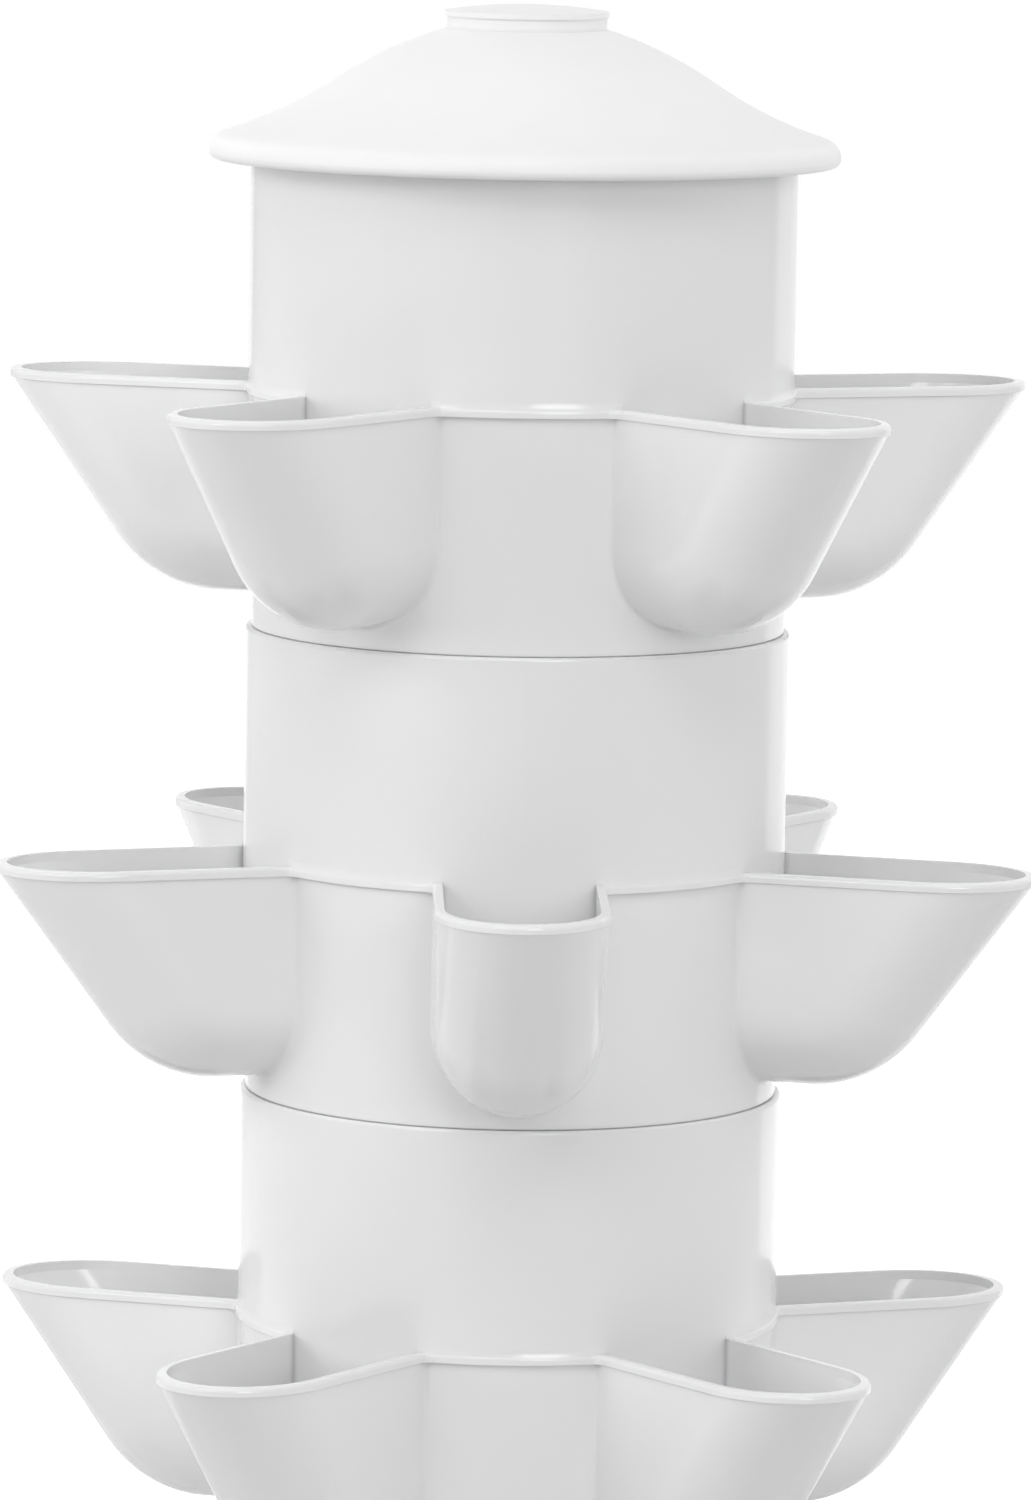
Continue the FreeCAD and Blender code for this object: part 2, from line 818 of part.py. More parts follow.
def make_riser():
    count = int(cell("tier_count").number)
    levels = [pump_top] + [joint_level(tier) for tier in range(count)] + [riser_top]
    pieces = []
    for index in range(count + 1):
        name = "riser_tank_length" if index == 0 else "riser_length_%d" % index
        piece = tube(name, riser_radius, riser_bore, levels[index + 1] - levels[index])
        pieces.append(place(piece, level=levels[index]))
    for index in range(1, count + 1):
        length = cell("sleeve_length")
        sleeve = tube("riser_sleeve_%d" % index, sleeve_radius, sleeve_bore, length)
        pieces.append(place(sleeve, level=levels[index] - length / 2))
    return pieces


# Tank
tank_foot = cell("tank_foot_diameter") / 2
tank_top = cell("tank_top_diameter") / 2
rim_radius = tank_top + cell("tank_rim_width")


def tank_radius(level):
    """Outer radius of the tank's tapered wall at a height."""
    return tank_foot + (tank_top - tank_foot) * level / cell("tank_height")


def make_tank():
    wall = cell("tank_wall")
    floor = cell("tank_foot_ring") + cell("tank_floor")
    band_low = cell("tank_band_level") - cell("tank_band_height") / 2
    band_high = cell("tank_band_level") + cell("tank_band_height") / 2
    band = cell("tank_band_depth")
    rim_under = cell("tank_height") - wall * 2
    body = turned("tank", [
        (tank_foot - cell("tank_foot_ring_width"), 0),
        (tank_foot, 0),
        (tank_radius(band_low), band_low),
        (tank_radius(band_low + band) + band, band_low + band),
        (tank_radius(band_high - band) + band, band_high - band),
        (tank_radius(band_high), band_high),
        (tank_radius(rim_under), rim_under),
        (rim_radius, rim_under),
        (rim_radius, cell("tank_height")),
        (tank_top - wall, cell("tank_height")),
        (tank_radius(floor) - wall, floor),
        (0, floor),
        (0, cell("tank_foot_ring")),
        (tank_foot - cell("tank_foot_ring_width"), cell("tank_foot_ring")),
    ])
    boss = new_sketch(body, "tap_boss", "XZ_Plane", boss_inner)
    circle(boss, 0, cell("tap_level"), cell("tap_boss_diameter") / 2)
    pad(body, boss, boss_face - boss_inner)
    bore = new_sketch(body, "tap_hole", "XZ_Plane", boss_face)
    circle(bore, 0, cell("tap_level"), cell("tap_thread") / 2 + cell("nest_gap"))
    cut_depth(body, bore, boss_face - boss_inner)
    return body


boss_face = tank_radius(cell("tap_level")) + cell("tap_boss_reach")
boss_inner = tank_radius(cell("tap_level")) - cell("tank_wall") - cell("tap_boss_reach")


# Deck: the tank's cover, whose collar takes the lowest tier's foot
skirt_inside = rim_radius + cell("deck_gap")
skirt_outside = skirt_inside + cell("deck_thickness")


def make_deck():
    thick = cell("deck_thickness")
    joint = thick + cell("collar_height")
    pipe_hole = cell("riser_diameter") / 2 + cell("riser_gap")
    pipe_collar = pipe_hole + cell("disc_collar_wall")
    body = turned("deck", [
        (pipe_hole, 0),
        (skirt_inside, 0),
        (skirt_inside, -cell("deck_skirt")),
        (skirt_outside, -cell("deck_skirt")),
        (skirt_outside, thick),
        (drum_radius, thick),
        (drum_radius, joint),
        (drum_bore, joint),
        *ledge_corners(joint - ledge_drop),
        (drum_bore, thick),
        (pipe_collar, thick),
        (pipe_collar, thick + cell("disc_collar")),
        (pipe_hole, thick + cell("disc_collar")),
    ])
    round_edges(
        body, cell("drum_edge_round"),
        lambda edge: ring_edge(edge, drum_radius, joint),
    )
    round_edges(
        body, smaller(cell("deck_edge_round"), thick * 0.9),
        lambda edge: ring_edge(edge, skirt_outside, thick),
    )
    port = new_sketch(body, "port_collar", level=as_size(0))
    circle(port, 0, -deck_ring, cell("port_diameter") / 2)
    pad(body, port, thick + cell("port_rise"))
    holes = (
        ("port_hole", 0, deck_ring, cell("port_diameter") / 2 - cell("port_wall")),
        ("float_hole", cell("float_angle"), deck_ring, cell("bush_diameter") / 2),
        ("cable_hole", 180, deck_ring, cell("grommet_hole") / 2),
    )
    for name, angle, distance, radius in holes:
        sketch = new_sketch(body, name)
        across, depth = around_axis(distance, angle)
        circle(sketch, across, depth, radius)
        cut_through(body, sketch)
    drain = new_sketch(body, "drain")
    circle(drain, cell("drain_ring") / 2, 0, cell("drain_hole") / 2)
    around(body, cut_through(body, drain), cell("pocket_count") * 2)
    return place(body, level=cell("tank_height"))


def make_fill_cap():
    outer = cell("port_diameter") / 2
    plug = outer - cell("port_wall") - cell("nest_gap")
    knob = cell("port_knob_diameter") / 2
    top = cell("port_cap_top")
    body = turned("fill_cap", [
        (plug - cell("port_wall"), -cell("port_cap_plug")),
        (plug, -cell("port_cap_plug")),
        (plug, 0),
        (outer + cell("port_wall"), 0),
        (outer + cell("port_wall"), top),
        (knob, top),
        (knob, top + cell("port_knob_rise")),
        (0, top + cell("port_knob_rise")),
        (0, 0),
        (plug - cell("port_wall"), 0),
    ])
    round_edges(
        body, cell("port_wall") * 0.6,
        lambda edge: ring_edge(edge, knob, top + cell("port_knob_rise"))
        or ring_edge(edge, outer + cell("port_wall"), top),
    )
    level = deck_top + cell("port_rise")
    return place(body, 0, -deck_ring, level)


# Level float: a stem that slides in a bush and carries a float below and a knob on top
bush_top = deck_top + cell("bush_flange_height")
stem_radius = cell("stem_diameter") / 2


def make_level_bush():
    bore = stem_radius + cell("stem_gap")
    shank = cell("bush_diameter") / 2 - 0.1
    flange = cell("bush_flange") / 2
    body = turned("level_bush", [
        (bore, -cell("deck_thickness") * 2),
        (shank, -cell("deck_thickness") * 2),
        (shank, 0),
        (flange, 0),
        (flange, cell("bush_flange_thickness")),
        (shank, cell("bush_flange_height")),
        (bore, cell("bush_flange_height")),
    ])
    across, depth = around_axis(deck_ring, cell("float_angle"))
    return place(body, across, depth, deck_top)


def make_level_float():
    across, depth = around_axis(deck_ring, cell("float_angle"))
    stem_foot = bush_top - cell("stem_length")
    stem = new_body("level_stem")
    section = new_sketch(stem, "stem_section")
    circle(section, 0, 0, stem_radius)
    pad(stem, section, cell("stem_length") + cell("knob_height") / 2)
    place(stem, across, depth, stem_foot)
    radius = cell("float_diameter") / 2
    height = cell("float_height")
    shell = turned("level_float", [
        (0, 0),
        (radius, 0),
        (radius, height),
        (stem_radius + 0.05, height),
        (stem_radius + 0.05, height / 2),
        (0, height / 2),
    ])
    round_edges(
        shell, height / 4,
        lambda edge: ring_edge(edge, radius, as_size(0)) or ring_edge(edge, radius, height),
    )
    place(shell, across, depth, stem_foot - height / 2)
    knob_radius = cell("knob_diameter") / 2
    knob = turned("level_knob", [
        (stem_radius + 0.05, 0),
        (knob_radius, 0),
        (knob_radius, cell("knob_height")),
        (0, cell("knob_height")),
        (0, cell("knob_height") / 2),
        (stem_radius + 0.05, cell("knob_height") / 2),
    ])
    round_edges(
        knob, knob_radius * 0.5,
        lambda edge: ring_edge(edge, knob_radius, cell("knob_height")),
    )
    place(knob, across, depth, bush_top)
    return [stem, shell, knob]


# Drain tap. Its own frame has the flow along +Y, so Y = 0 is the outer face of the seal.
tap_face = boss_face + cell("tap_seal_thickness")


def make_tap_seal():
    body = new_body("tap_seal")
    sketch = new_sketch(body, "seal_ring", "XZ_Plane", boss_face)
    circle(sketch, 0, cell("tap_level"), cell("tap_flange_diameter") / 2)
    circle(sketch, 0, cell("tap_level"), cell("tap_thread") / 2 + 0.1)
    pad(body, sketch, cell("tap_seal_thickness"))
    return body


def make_tap_nut():
    body = new_body("tap_nut")
    sketch = new_sketch(body, "nut_section", "XZ_Plane", boss_inner)
    across = cell("tap_nut_across") / 2
    corner = across / cosine(as_size(30))
    level = cell("tap_level")
    outline(sketch, [
        (corner, level),
        (corner / 2, level + across),
        (-corner / 2, level + across),
        (-corner, level),
        (-corner / 2, level - across),
        (corner / 2, level - across),
    ])
    circle(sketch, 0, level, cell("tap_thread") / 2 + 0.1)
    pad(body, sketch, cell("tap_nut_thickness"), downward=True)
    return body


def make_tap_body():
    body = new_body("tap_body")
    level = cell("tap_level")
    stub_start = boss_inner - cell("tap_nut_thickness") - 4
    parts = (
        ("stub", stub_start, cell("tap_thread") / 2, tap_face - stub_start),
        ("flange", tap_face, cell("tap_flange_diameter") / 2, cell("tap_flange_thickness")),
        ("barrel", tap_face, cell("tap_barrel") / 2, tap_barrel_end - tap_face),
    )
    for name, start, radius, length in parts:
        sketch = new_sketch(body, name, "XZ_Plane", start)
        circle(sketch, 0, level, radius)
        pad(body, sketch, length)
    spout_foot = level - cell("tap_barrel") / 2 - cell("tap_spout_drop")
    spout = new_sketch(body, "spout", level=spout_foot)
    circle(spout, 0, -spout_distance, cell("tap_spout") / 2)
    pad(body, spout, level - spout_foot)
    spout_bore = new_sketch(body, "spout_bore", level=spout_foot)
    circle(spout_bore, 0, -spout_distance, cell("tap_bore") / 2)
    cut_depth(body, spout_bore, level - spout_foot, upward=True)
    flow = new_sketch(body, "flow_bore", "XZ_Plane", stub_start)
    circle(flow, 0, level, cell("tap_bore") / 2)
    cut_depth(body, flow, spout_distance - stub_start, upward=True)
    seat = new_sketch(body, "plug_seat", level=plug_foot)
    circle(seat, 0, -plug_distance, cell("tap_plug") / 2 + 0.1)
    cut_depth(body, seat, cell("tap_barrel"), upward=True)
    return body


tap_barrel_end = tap_face + cell("tap_barrel_length")
spout_distance = tap_barrel_end - cell("tap_spout") / 2 - 1
plug_distance = tap_face + cell("tap_flange_thickness") + cell("tap_plug") / 2 + 3
plug_foot = cell("tap_level") - cell("tap_barrel") / 2 + 2.5


def make_tap_handle():
    """The tap's plug with its lever, drawn open and turned a quarter to stand closed."""
    body = new_body("tap_handle")
    plug = new_sketch(body, "plug")
    circle(plug, 0, 0, cell("tap_plug") / 2)
    top = cell("tap_level") + cell("tap_barrel") / 2 + 2
    lever_foot = top - plug_foot - 0.2
    pad(body, plug, lever_foot)
    lever = new_sketch(body, "lever", level=lever_foot)
    half = cell("tap_lever_width") / 2
    hub = cell("tap_plug") / 2
    reach = cell("tap_lever_length")
    outline(lever, [(-half, -reach), (half, -reach), (hub, hub), (-hub, hub)])
    pad(body, lever, cell("tap_lever_thickness"))
    bore = new_sketch(body, "cross_bore", "XZ_Plane", cell("tap_plug"))
    circle(bore, 0, cell("tap_level") - plug_foot, cell("tap_bore") / 2)
    cut_depth(body, bore, cell("tap_plug") * 2)
    body.Placement = Placement(Vector(0, 0, 0), Rotation(Vector(0, 0, 1), 90))
    return place(body, 0, -plug_distance, plug_foot)


# Pump: housing, slotted intake cover, impeller on its shaft and four suction feet
pump_front = cell("pump_length") * 0.3
pump_back = cell("pump_length") - cell("pump_cover_depth") - pump_front
shaft_level = cell("pump_tall") / 2


def make_pump_housing():
    body = new_body("pump_housing")
    half = cell("pump_width") / 2
    block = new_sketch(body, "block")
    rectangle(block, -half, -pump_front, half, pump_back)
    pad(body, block, cell("pump_tall"))
    round_edges(
        body, cell("pump_round"),
        lambda edge: edge.BoundBox.ZLength > cell("pump_tall").number / 2
        and edge.BoundBox.YMax > 0,
    )
    nozzle = new_sketch(body, "nozzle", level=cell("pump_tall"))
    circle(nozzle, 0, 0, sleeve_radius)
    pad(body, nozzle, cell("pump_outlet_rise"))
    chamber = new_sketch(body, "chamber", "XZ_Plane", pump_front)
    circle(chamber, 0, shaft_level, cell("pump_chamber") / 2)
    cut_depth(body, chamber, pump_chamber_depth)
    outlet = new_sketch(body, "outlet", level=shaft_level)
    circle(outlet, 0, 0, cell("pump_outlet") / 2)
    cut_through(body, outlet)
    seat = new_sketch(body, "shaft_seat", "XZ_Plane", pump_front)
    circle(seat, 0, shaft_level, cell("impeller_shaft") / 2 + 0.05)
    cut_depth(body, seat, pump_chamber_depth + shaft_seat_depth)
    return place(body, level=pump_base)


pump_chamber_depth = pump_front + cell("pump_outlet") / 4
shaft_seat_depth = cell("impeller_shaft") * 2


def make_pump_cover():
    body = new_body("pump_cover")
    half = cell("pump_width") / 2
    wall = cell("pump_wall")
    depth = cell("pump_cover_depth")
    front = -pump_front - depth
    block = new_sketch(body, "cover_block")
    rectangle(block, -half, front, half, -pump_front)
    pad(body, block, cell("pump_tall"))
    cavity = new_sketch(body, "cavity", "XZ_Plane", pump_front)
    rectangle(cavity, -half + wall, wall, half - wall, cell("pump_tall") - wall)
    cut_depth(body, cavity, depth - wall, upward=True)
    slots = new_sketch(body, "slots", "XZ_Plane", pump_front + depth)
    count = 5
    pitch = (cell("pump_width") - wall * 4) / count
    for index in range(count):
        centre = pitch * (index - (count - 1) / 2)
        rectangle(
            slots, centre - pitch / 4, wall * 3, centre + pitch / 4, cell("pump_tall") - wall * 3
        )
    cut_depth(body, slots, wall)
    return place(body, level=pump_base)


def make_impeller():
    """Blades on a back plate, with the shaft's bore along its own Z axis."""
    body = new_body("pump_impeller")
    bore = cell("impeller_shaft") / 2 + 0.05
    hub = cell("impeller_hub") / 2
    rim = cell("impeller_diameter") / 2
    plate = cell("impeller_blade_thickness")
    length = cell("impeller_length")
    sketch = new_sketch(body, "hub_profile", "XZ_Plane")
    outline(sketch, [(bore, 0), (rim, 0), (rim, plate), (hub, plate), (hub, length), (bore, length)])
    revolution = body.newObject("PartDesign::Revolution", "hub_turn")
    revolution.Profile = sketch
    revolution.ReferenceAxis = (sketch, ["V_Axis"])
    revolution.Angle = 360
    body.Tip = revolution
    blade = new_sketch(body, "blade")
    half = cell("impeller_blade_thickness") / 2
    rectangle(blade, hub - half, -half, rim, half)
    around(body, pad(body, blade, length), cell("impeller_blades"))
    body.Placement = Placement(Vector(0, 0, 0), Rotation(Vector(1, 0, 0), 90))
    back = pump_chamber_depth - pump_front - cell("impeller_gap") * 4
    return place(body, 0, back, pump_base + shaft_level)


def make_shaft():
    body = new_body("pump_shaft")
    length = pump_chamber_depth + shaft_seat_depth - 1
    sketch = new_sketch(body, "shaft_section", "XZ_Plane", -length)
    circle(sketch, 0, 0, cell("impeller_shaft") / 2)
    pad(body, sketch, length)
    far = pump_chamber_depth + shaft_seat_depth - pump_front
    return place(body, 0, far - length, pump_base + shaft_level)


def make_pump_feet():
    """Four suction cups, one group of separate solids."""
    foot = cell("pump_foot_diameter") / 2
    height = cell("pump_foot_height").number
    across = (cell("pump_width") / 2 - foot).number
    back = (pump_back - foot).number
    front = (-pump_front + foot).number
    cups = []
    for x in (-across, across):
        for y in (front, back):
            cup = Part.makeCone(foot.number, foot.number * 0.5, height, Vector(x, y, 0))
            cups.append(cup)
    piece = document.addObject("Part::Feature", "pump_feet")
    piece.Shape = Part.makeCompound(cups)
    return place(piece, level=pump_base - cell("pump_foot_height"))


def make_grommet():
    flange = cell("grommet_flange") / 2
    thick = cell("grommet_flange_thickness")
    shank = cell("grommet_hole") / 2 - 0.1
    bore = cell("grommet_bore") / 2
    body = turned("cable_grommet", [
        (bore, -cell("deck_thickness") - thick),
        (shank, -cell("deck_thickness") - thick),
        (shank, 0),
        (flange, 0),
        (flange, thick),
        (bore, thick),
    ])
    return place(body, 0, deck_ring, deck_top)


def build():
    pieces = [make_tank(), make_deck(), make_root_screen(), make_fill_cap(), make_grommet()]
    pieces += make_tiers()
    top = int(cell("tier_count").number)
    for tier in range(1, top):
        pieces.append(make_drip_disc("drip_disc_%d" % tier, joint_level(tier)))
    pieces.append(make_drip_disc("shower_disc", tower_top))
    pieces += [make_lid(), make_lid_cap()]
    pieces += make_riser()
    pieces += [make_level_bush(), *make_level_float()]
    pieces += [make_tap_seal(), make_tap_nut(), make_tap_body(), make_tap_handle()]
    pieces += [make_pump_housing(), make_pump_cover(), make_impeller(), make_shaft()]
    pieces.append(make_pump_feet())
    return pieces


pieces = build()
document.recompute()
for item in document.Objects:
    if "Invalid" in item.State or "Error" in item.State:
        raise ValueError("%s did not compute: %s" % (item.Name, item.State))
for piece in pieces:
    if piece.Shape.isNull() or not piece.Shape.isValid() or not piece.Shape.Solids:
        raise ValueError("%s has no valid solid" % piece.Label)
    piece.Shape.exportStep(os.path.join("parts", piece.Label + ".step"))
    print(piece.Label, len(piece.Shape.Solids), round(piece.Shape.Volume / 1000, 1), "cm3")
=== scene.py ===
# %% [markdown]
# # A vertical planter tower in white plastic
#
# The real object is a stack of round tiers, moulded in one piece each with five scoop pockets,
# under a hat-shaped lid. It stands on a water tank whose pump sends water up a pipe in the middle.
# The construction is already there as a fixed frame, in metres, with +Z up and -Y at the front.
# This lesson dresses it: the camera first, then one finish after another, then the light.

# %% Load the frame
import json
import math

import bpy
from mathutils import Matrix, Vector


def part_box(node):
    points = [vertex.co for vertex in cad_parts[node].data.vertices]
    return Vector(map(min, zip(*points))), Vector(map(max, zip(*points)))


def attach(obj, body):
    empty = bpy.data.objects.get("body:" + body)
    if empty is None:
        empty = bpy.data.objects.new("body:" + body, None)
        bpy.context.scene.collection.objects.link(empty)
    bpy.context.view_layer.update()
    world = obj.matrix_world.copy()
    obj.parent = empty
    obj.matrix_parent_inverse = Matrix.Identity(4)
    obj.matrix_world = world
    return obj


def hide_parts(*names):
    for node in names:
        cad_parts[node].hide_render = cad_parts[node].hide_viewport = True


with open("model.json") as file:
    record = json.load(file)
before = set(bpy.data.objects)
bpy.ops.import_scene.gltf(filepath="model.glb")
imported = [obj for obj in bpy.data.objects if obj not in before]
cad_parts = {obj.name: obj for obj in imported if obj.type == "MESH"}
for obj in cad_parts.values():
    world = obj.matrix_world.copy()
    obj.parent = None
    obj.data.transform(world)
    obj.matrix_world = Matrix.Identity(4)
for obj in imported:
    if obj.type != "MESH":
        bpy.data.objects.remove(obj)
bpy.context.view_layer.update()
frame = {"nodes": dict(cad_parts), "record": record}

# %% [markdown]
# ## The camera
#
# The picture is taken from more than three metres away with a long lens, a little above the
# middle of what it shows, and tilted by almost a degree. A long lens keeps the drums nearly
# straight-sided. The numbers below come from fitting the tiers' joints, rims and outlines, so
# the camera is written as a place and three angles rather than aimed by eye. Blender lays the
# sensor's width along the longer side of the picture, which is its height here.

# %% Place the camera
PICTURE_HEIGHT = 1500
LENS_PIXELS = 8809.0
SENSOR_WIDTH = 36
FARTHEST_SEEN = 50
CAMERA_DISTANCE = 3.2213
CAMERA_ABOVE_RIM = 0.2786
CAMERA_PITCH = 0.1266
CAMERA_ROLL = 0.0161
CAMERA_TURN = math.radians(-1.28)
RIM_ABOVE_FOOT = 0.0997
RIM_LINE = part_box("tier_3")[0][2] + RIM_ABOVE_FOOT


def aimed_camera():
    """The camera's place and turn. It stands CAMERA_DISTANCE from the tower's axis and faces it."""
    ahead = Vector((-math.sin(CAMERA_TURN), math.cos(CAMERA_TURN), 0))
    forward = ahead * math.cos(CAMERA_PITCH) - Vector((0, 0, 1)) * math.sin(CAMERA_PITCH)
    right = Vector((math.cos(CAMERA_TURN), math.sin(CAMERA_TURN), 0))
    up = right.cross(forward)
    level_right = right * math.cos(CAMERA_ROLL) + up * math.sin(CAMERA_ROLL)
    level_up = up * math.cos(CAMERA_ROLL) - right * math.sin(CAMERA_ROLL)
    turn = Matrix((level_right, level_up, -forward)).transposed().to_4x4()
    place = -ahead * CAMERA_DISTANCE
    place.z = RIM_LINE + CAMERA_ABOVE_RIM
    return Matrix.Translation(place) @ turn


camera_data = bpy.data.cameras.new("camera")
camera_data.sensor_width = SENSOR_WIDTH
camera_data.lens = LENS_PIXELS * SENSOR_WIDTH / PICTURE_HEIGHT
camera_data.clip_end = FARTHEST_SEEN
camera = bpy.data.objects.new("camera", camera_data)
camera.matrix_world = aimed_camera()
bpy.context.collection.objects.link(camera)
bpy.context.scene.camera = camera
print("lens %.1f mm, rim line at %.4f m" % (camera_data.lens, RIM_LINE))

# %% [markdown]
# ## How a finish is built
#
# Each finish is one Principled shader in which textures drive three things: colour, roughness
# and height. Photographs of plastic could be wrapped round the pieces, but textures worked out
# from noise need no unwrapping, have no seams and stay sharp up close. A small class keeps the
# three strands together, so that later cells can add dust, wear or a grain one step at a time.

# %% A finish under construction
class Finish:
    """One material, with the colour, roughness and relief that the next step adds to."""

    def __init__(self, name):
        self.material = bpy.data.materials.new(name)
        self.material.use_nodes = True
        self.tree = self.material.node_tree
        self.shader = self.tree.nodes["Principled BSDF"]
        self.place = self.node("ShaderNodeTexCoord").outputs["Object"]
        self.colour = None
        self.roughness = None
        self.normal = None

    def node(self, kind, **settings):
        """A new node, with each setting put on the socket of that name or on the node itself."""
        node = self.tree.nodes.new(kind)
        for key, value in settings.items():
            if key in node.inputs:
                node.inputs[key].default_value = value
            else:
                setattr(node, key, value)
        return node

    def plug(self, value, socket):
        """Link a socket, or set a plain number or colour."""
        if isinstance(value, bpy.types.NodeSocket):
            self.tree.links.new(value, socket)
        else:
            socket.default_value = (*value, 1) if isinstance(value, tuple) else value

    def use(self):
        """Plug the three strands into the shader, and hand the material over."""
        self.plug(self.colour, self.shader.inputs["Base Color"])
        self.plug(self.roughness, self.shader.inputs["Roughness"])
        if self.normal is not None:
            self.plug(self.normal, self.shader.inputs["Normal"])
        return self.material


# %% Noise, spans and mixes
def noise(finish, scale, detail, stretch=(1, 1, 1)):
    """Noise from 0 to 1 in the object's own space, with scale ripples to the metre."""
    squeeze = finish.node("ShaderNodeMapping")
    squeeze.inputs["Scale"].default_value = stretch
    texture = finish.node("ShaderNodeTexNoise", Scale=scale, Detail=detail)
    finish.plug(finish.place, squeeze.inputs["Vector"])
    finish.plug(squeeze.outputs["Vector"], texture.inputs["Vector"])
    return texture.outputs["Fac"]


def ranged(finish, source, span, result=(0, 1)):
    """Turn the span that source runs through into result, and hold it there outside."""
    node = finish.node("ShaderNodeMapRange")
    for key, value in zip(("From Min", "From Max", "To Min", "To Max"), (*span, *result)):
        node.inputs[key].default_value = value
    finish.plug(source, node.inputs["Value"])
    return node.outputs["Result"]


def reckon(finish, operation, first, second):
    """Work out one sum of two numbers or sockets."""
    node = finish.node("ShaderNodeMath", operation=operation)
    finish.plug(first, node.inputs[0])
    finish.plug(second, node.inputs[1])
    return node.outputs[0]


def times(finish, first, second):
    return reckon(finish, "MULTIPLY", first, second)


def plus(finish, first, second):
    return reckon(finish, "ADD", first, second)


# %% Steps that change a finish
# A Mix node has its sockets for numbers, vectors and colours in a row, so colours go by number.
MIX_COLOURS = (6, 7)
MIXED_COLOUR = 2


def tint(finish, cover, colour):
    """Lay another colour over the finish's own where cover is 1."""
    node = finish.node("ShaderNodeMix", data_type="RGBA")
    finish.plug(cover, node.inputs["Factor"])
    for socket, value in zip(MIX_COLOURS, (finish.colour, colour)):
        finish.plug(value, node.inputs[socket])
    finish.colour = node.outputs[MIXED_COLOUR]


def roughen(finish, change):
    """Add to the roughness. A change below 0 polishes."""
    finish.roughness = plus(finish, finish.roughness, change)


def relief(finish, source, depth, strength):
    """Raise the surface by depth metres where source is 1, on top of earlier relief."""
    bump = finish.node("ShaderNodeBump", Strength=strength, Distance=depth)
    finish.plug(source, bump.inputs["Height"])
    if finish.normal is not None:
        finish.plug(finish.normal, bump.inputs["Normal"])
    finish.normal = bump.outputs["Normal"]


# %% [markdown]
# ## Dust, worn edges and painted shade in the joints
#
# Two things happen to every piece that stands in a garden. Dust and dried drops settle on what
# faces up, and edges that hands and neighbours touch are rubbed smoother or scuffed. A third step
# paints shade: a thin dark line in creases and where two pieces meet. Painting masks by hand would
# do for one view. Here the surface's own direction gives the first mask, the difference between
# the true normal and a rounded one gives the second, and how little open space lies close by gives
# the mask of the painted shade.

# %% Where dust lies, edges wear and shade is painted in creases
def facing_up(finish):
    surface = finish.node("ShaderNodeNewGeometry")
    parts = finish.node("ShaderNodeSeparateXYZ")
    finish.plug(surface.outputs["Normal"], parts.inputs[0])
    return ranged(finish, parts.outputs["Z"], span=(0.55, 0.98))


def along_edges(finish, width):
    rounded = finish.node("ShaderNodeBevel", samples=4, Radius=width)
    surface = finish.node("ShaderNodeNewGeometry")
    agree = finish.node("ShaderNodeVectorMath", operation="DOT_PRODUCT")
    finish.plug(rounded.outputs["Normal"], agree.inputs[0])
    finish.plug(surface.outputs["Normal"], agree.inputs[1])
    return ranged(finish, agree.outputs["Value"], span=(0.90, 0.995), result=(1, 0))


def in_creases(finish, reach):
    """1 deep in narrow gaps and inner corners, and 0 where nothing is nearer than reach."""
    seen = finish.node("ShaderNodeAmbientOcclusion", samples=6, Distance=reach)
    return ranged(finish, seen.outputs["AO"], span=(0.35, 0.8), result=(1, 0))


# %% Add dust, wear and painted shade in creases
def add_dust(finish, colour, amount):
    """Mottled dust on what faces up, and a rougher surface under it."""
    mottle = ranged(finish, noise(finish, scale=60, detail=5), span=(0.35, 0.7), result=(0.2, 1))
    cover = times(finish, times(finish, facing_up(finish), mottle), amount)
    tint(finish, cover, colour)
    roughen(finish, times(finish, cover, 0.5))


def add_wear(finish, width, colour, amount, gloss_change):
    """Scuffs along the edges, broken up so that no edge is worn evenly."""
    broken = ranged(finish, noise(finish, scale=45, detail=4), span=(0.42, 0.62), result=(0.1, 1))
    worn = times(finish, times(finish, along_edges(finish, width), broken), amount)
    tint(finish, worn, colour)
    roughen(finish, times(finish, worn, gloss_change))


def add_painted_crease_shade(finish, reach, colour, amount):
    """Painted shade: a thin dark line in creases and joints, where little open space lies near."""
    tint(finish, times(finish, in_creases(finish, reach), amount), colour)


# %% [markdown]
# ## White moulded plastic of the tower
#
# The tiers and the lid come out of a polished mould as smooth white plastic. Up close it is
# never quite even: a fine orange-peel ripple breaks up highlights, wide soft sinks follow the
# cooling of the walls, and the gloss changes slowly where the plastic flowed. All of that is
# much weaker than on a rough part, because the picture shows clean, almost unbroken shading.
# The lid and its cap look a shade whiter there and show no gloss, so the same function makes a
# second, duller finish for them, with a whiter colour that is painted light for their brighter top.

# %% The tower's polished white
def moulded(name, colour, shade, gloss, patch=9):
    """Colour and roughness that drift together over soft patches, patch of them to the metre."""
    finish = Finish(name)
    drift = noise(finish, scale=patch, detail=2)
    middle = (0.3, 0.7)
    shaded = ranged(finish, drift, middle)
    finish.colour = colour
    tint(finish, shaded, shade)
    finish.roughness = ranged(finish, drift, middle, result=gloss)
    return finish


def tower_white(name, colour, shade, gloss):
    finish = moulded(name, colour, shade, gloss)
    streaks = noise(finish, scale=30, detail=3, stretch=(1, 1, 0.12))
    roughen(finish, ranged(finish, streaks, span=(0.5, 0.8), result=(0, 0.05)))
    add_wear(finish, width=0.0012, colour=(0.80, 0.80, 0.80), amount=0.35, gloss_change=0.12)
    add_dust(finish, colour=(0.77, 0.76, 0.73), amount=0.10)
    # Painted shade: the crease line below darkens the colour where little open space lies near.
    add_painted_crease_shade(finish, reach=0.003, colour=(0.42, 0.42, 0.43), amount=0.45)
    relief(finish, noise(finish, scale=14, detail=1), depth=0.0006, strength=0.25)
    relief(finish, noise(finish, scale=700, detail=2), depth=0.00006, strength=0.35)
    return finish.use()


